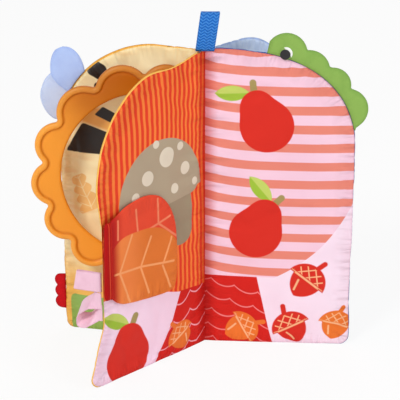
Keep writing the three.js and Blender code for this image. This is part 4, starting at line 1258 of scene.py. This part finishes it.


# Panel of the flap: an orange leaf on a red ground, with pale veins, and painted shade turning both deep red towards
# the fold
flapVeins = {
    "orange": [((91.3, 81.4), (86.9, 81.4)), ((86.9, 81.4), (67.7, 80.7)), ((67.7, 80.7), (47.9, 78)),
               ((47.9, 78), (37.8, 76.9)), ((86.9, 81.4), (75.2, 106)), ((67.7, 80.7), (58.3, 100.4)),
               ((47.4, 77.8), (40, 95.2)), ((86.9, 81.4), (78, 57.5)), ((67.7, 79.7), (60.6, 59.4)),
               ((48, 76.1), (40.5, 57.8))],
    "red": [((71.2, 122.8), (69.9, 107.2)), ((87.4, 119.1), (87.8, 106)), ((51.3, 125.6), (51.6, 108.1)),
            ((51.6, 108.1), (41, 111.2)), ((51.6, 108.1), (59.1, 106.1)), ((51.6, 108.1), (35.2, 94.8))],
}


def flapPrint(finish, place, colour):
    x, z, _ = finish.parts(place)
    drop = finish.sum("POWER", ((x - 68) / 26).most(0), 4) * 10 + finish.sum("POWER", ((68 - x) / 25).most(0), 3) * 6.8
    lower = z - 107 + drop
    # painted shade: ground and leaf deepen to dark red towards the fold
    ground = finish.lay(ink(230, 74, 46), ink(184, 22, 18), finish.range(x, 82, 92))
    leaf = finish.lay(colour, ink(240, 134, 66), finish.range(x, 60, 82))
    leaf = finish.lay(leaf, ink(186, 30, 18), finish.range(x, 84.5, 92.5))
    paint = finish.lay(ground, leaf, finish.inside(lower, 0.35))
    for part, tone in (("orange", ink(246, 164, 104)), ("red", ink(240, 134, 96))):
        line = None
        for start, end in flapVeins[part]:
            strip = finish.strip(place, start, end, 0.75)
            line = strip if line is None else line.least(strip)
        mask = finish.inside(lower) if part == "orange" else 1 - finish.inside(lower)
        paint = finish.lay(paint, tone, finish.inside(line, 0.3) * mask * finish.range(x, 93, 89))
    return paint


flapLook = dict(clothLooks["page"], sewn=False, pucker=3, drawn=1)
finishes["flapFront"] = cloth("flapOrange", ink(224, 118, 46), flapLook, flapPrint)
finishes["flapBack"] = cloth("flapRed", ink(206, 50, 30), clothLooks["plain"])


# The fold: deep red, with a painted highlight as a paler line where it turns
def foldColourAndHighlight(finish, place, colour):
    x, _, _ = finish.parts(place)
    paint = finish.lay(colour, ink(196, 36, 22), finish.range(x, 95.6, 93.6))
    # painted highlight along the turn of the fold
    return finish.lay(paint, ink(228, 84, 46), finish.range(abs(x - 95.9), 0.6, 0.2) * 0.8)


finishes["flapFold"] = cloth("flapFoldRed", ink(176, 14, 14), dict(clothLooks["plain"], pucker=0), foldColourAndHighlight)


def addFlap(setup):
    degrees = leaves["left_leaf"]["degrees"]
    edge = setup["hinge"] - setup["roll"] - 0.3

    def spots(shares):
        shares = np.array(shares)
        return np.stack([edge - shares[:, 0] * setup["width"], setup["foot"] + shares[:, 1] * setup["height"]], 1)

    seam = np.concatenate([curve(spots(setup["top"])), curve(spots(setup["low"]))])
    outline = evenly(np.concatenate([seam, seam[:1]]), setup["step"])[:-1]
    net = fillShape(outline, [], setup["rings"], setup["net"])
    inset = np.where(net["border"], 0, net["inset"])
    _, run = nearPath(net["flat"], seam)
    x, z = net["flat"][:, 0], net["flat"][:, 1]
    away = edge - x
    curl = setup["curl"] * smoothstep(away, 26, 60)
    curl += noiseAt(net["flat"] * 0.03, 3.3) * 0.7 * smoothstep(away, 4, 30)
    for part, side, finish, node, slot in (("front", 1, "flapFront", "leaf_flap_front_cloth", "flap_cloth"),
                                           ("back", -1, "flapBack", "leaf_flap_back_cloth", "flap_cloth_red")):
        swell = 0.7 * np.sqrt(crownShare(inset, 1.2))
        swell += 0.45 * crownShare(inset, 9)
        swell += noiseAt(np.stack([run * 0.16, inset * 0.05], 1), 5.5 + side) * 0.75 \
            * smoothstep(inset, 0.5, 3) * (1 - smoothstep(inset, 5, 13)) * smoothstep(away, 6, 16)
        swell = np.where(net["border"], 0, np.maximum(swell, 0.08))
        n = setup["plane"] + side * swell + curl
        if side < 0:
            n = np.maximum(n, 3.85)
        faces = net["faces"][:, ::-1] if side > 0 else net["faces"]
        piece = meshPiece("leaf_flap_" + part, onLeaf(degrees, x, n, z), faces, finishes[finish], net["flat"])
        keepMark(piece, "seamRun", run)
        keepMark(piece, "seamInset", inset + 20 * (1 - smoothstep(away, 6, 16)))
        dress(piece, "leaf_flap", [node])
    # the fold is a straight band that laps over the panel's edge, drawn in by its stitches
    low, high = (setup["foot"] + share * setup["height"] for share in (setup["low"][-1][1], setup["top"][0][1]))
    section = [(2.0, -1.2), (3.0, -0.6), (3.4, 0.3), (2.9, 1.3), (1.7, 1.8), (0.4, 1.7), (-0.8, 1.6), (-1.8, 1.35),
               (-2.6, 1.05), (-2.5, 0.7), (-1.8, 0.4), (-1.2, -0.2), (-0.6, -0.8), (0.8, -1.3)]
    section = curve(section + section[:1], 43)[:-1]
    heights = np.linspace(low, high, 70)
    points, leafMap = [], []
    for z in heights:
        end = min(z - low, high - z)
        full = math.sqrt(max(1 - (1 - min(end / 5, 1)) ** 2, 0)) * 0.7 + 0.3
        stitch = 0.1 * math.sin(z * 1.9) + 0.12 * noise.noise(Vector((z * 0.3, 0, 0)))
        for across, up in section:
            reach = 1 + (across - 1) * (full if across > 1 else 1) + 1.2 * (1 - (z - low) / (high - low)) * (across > 1)
            over = up * full if across > -0.5 else up * (0.8 + 0.2 * full) + stitch * 0.6
            points.append((setup["hinge"] + reach, setup["plane"] + over, z))
            leafMap.append((setup["hinge"] + across, z))
    points = np.array(points)
    fold = meshPiece("leaf_flap_fold", onLeaf(degrees, points[:, 0], points[:, 1], points[:, 2]),
                     tubeFaces(len(heights), len(section)), finishes["flapFold"], np.array(leafMap))
    dress(fold, "leaf_flap", ["leaf_flap_roll"])


addFlap(flap)
print("flap made")


# Floor, sky and lamps
stage = {"floor": 6, "paper": ink(250, 250, 250), "sky": 0.44, "glow": 0.88}
lamps = [
    {"name": "keyLamp", "place": (-0.75, -1.15, 1.25), "size": 0.45, "power": 13.5},
    {"name": "fillLamp", "place": (1.2, -0.9, 0.7), "size": 0.9, "power": 6.5},
    {"name": "backLamp", "place": (0.2, 1.3, 1.2), "size": 1.0, "power": 4},
]


def addStage(setup):
    half = setup["floor"] / 2
    finish = Finish("floorPaper")
    grain = finish.mottle(finish.solidPlace(), 0.5, 3)
    paint = finish.lay(setup["paper"], (0.8, 0.8, 0.8, 1), finish.range(grain, 0.45, 0.8, 0, 0.1))
    matt = finish.node("ShaderNodeBsdfDiffuse", {}, {0: paint})
    glow = finish.node("ShaderNodeEmission", {}, {0: (1, 1, 1, 1), 1: 1})
    seen = finish.node("ShaderNodeLightPath", {}, {}, 0)
    material = finish.closeShader(finish.node("ShaderNodeMixShader", {}, {0: seen * setup["glow"], 1: matt, 2: glow}))
    floor = meshPiece("floor", [(-half, -half, 0), (half, -half, 0), (half, half, 0), (-half, half, 0)],
                      [(0, 1, 2, 3)], material, smooth=False)
    world = bpy.data.worlds.new("studioSky")
    scene.world = world
    world.use_nodes = True
    tree = world.node_tree
    tree.nodes.clear()
    ray = tree.nodes.new("ShaderNodeLightPath")
    shown = tree.nodes.new("ShaderNodeMath")
    shown.operation = "MAXIMUM"
    tree.links.new(ray.outputs["Is Camera Ray"], shown.inputs[0])
    tree.links.new(ray.outputs["Is Glossy Ray"], shown.inputs[1])
    light, backdrop = (tree.nodes.new("ShaderNodeBackground") for _ in range(2))
    light.inputs[0].default_value = (1, 1, 1, 1)
    light.inputs[1].default_value = setup["sky"]
    backdrop.inputs[0].default_value = (1, 1, 1, 1)
    backdrop.inputs[1].default_value = 1
    mix = tree.nodes.new("ShaderNodeMixShader")
    tree.links.new(shown.outputs[0], mix.inputs[0])
    tree.links.new(light.outputs[0], mix.inputs[1])
    tree.links.new(backdrop.outputs[0], mix.inputs[2])
    output = tree.nodes.new("ShaderNodeOutputWorld")
    tree.links.new(mix.outputs[0], output.inputs[0])


def addLamp(setup):
    data = bpy.data.lights.new(setup["name"], "AREA")
    data.shape = "DISK"
    data.size = setup["size"]
    data.energy = setup["power"]
    lamp = bpy.data.objects.new(setup["name"], data)
    scene.collection.objects.link(lamp)
    lamp.location = setup["place"]
    toward = Vector((0, 0, 0.1)) - Vector(setup["place"])
    lamp.rotation_mode = "QUATERNION"
    lamp.rotation_quaternion = toward.to_track_quat("-Z", "Y")


addStage(stage)
for lamp in lamps:
    addLamp(lamp)
scene.view_settings.view_transform = "Standard"
print("stage set")
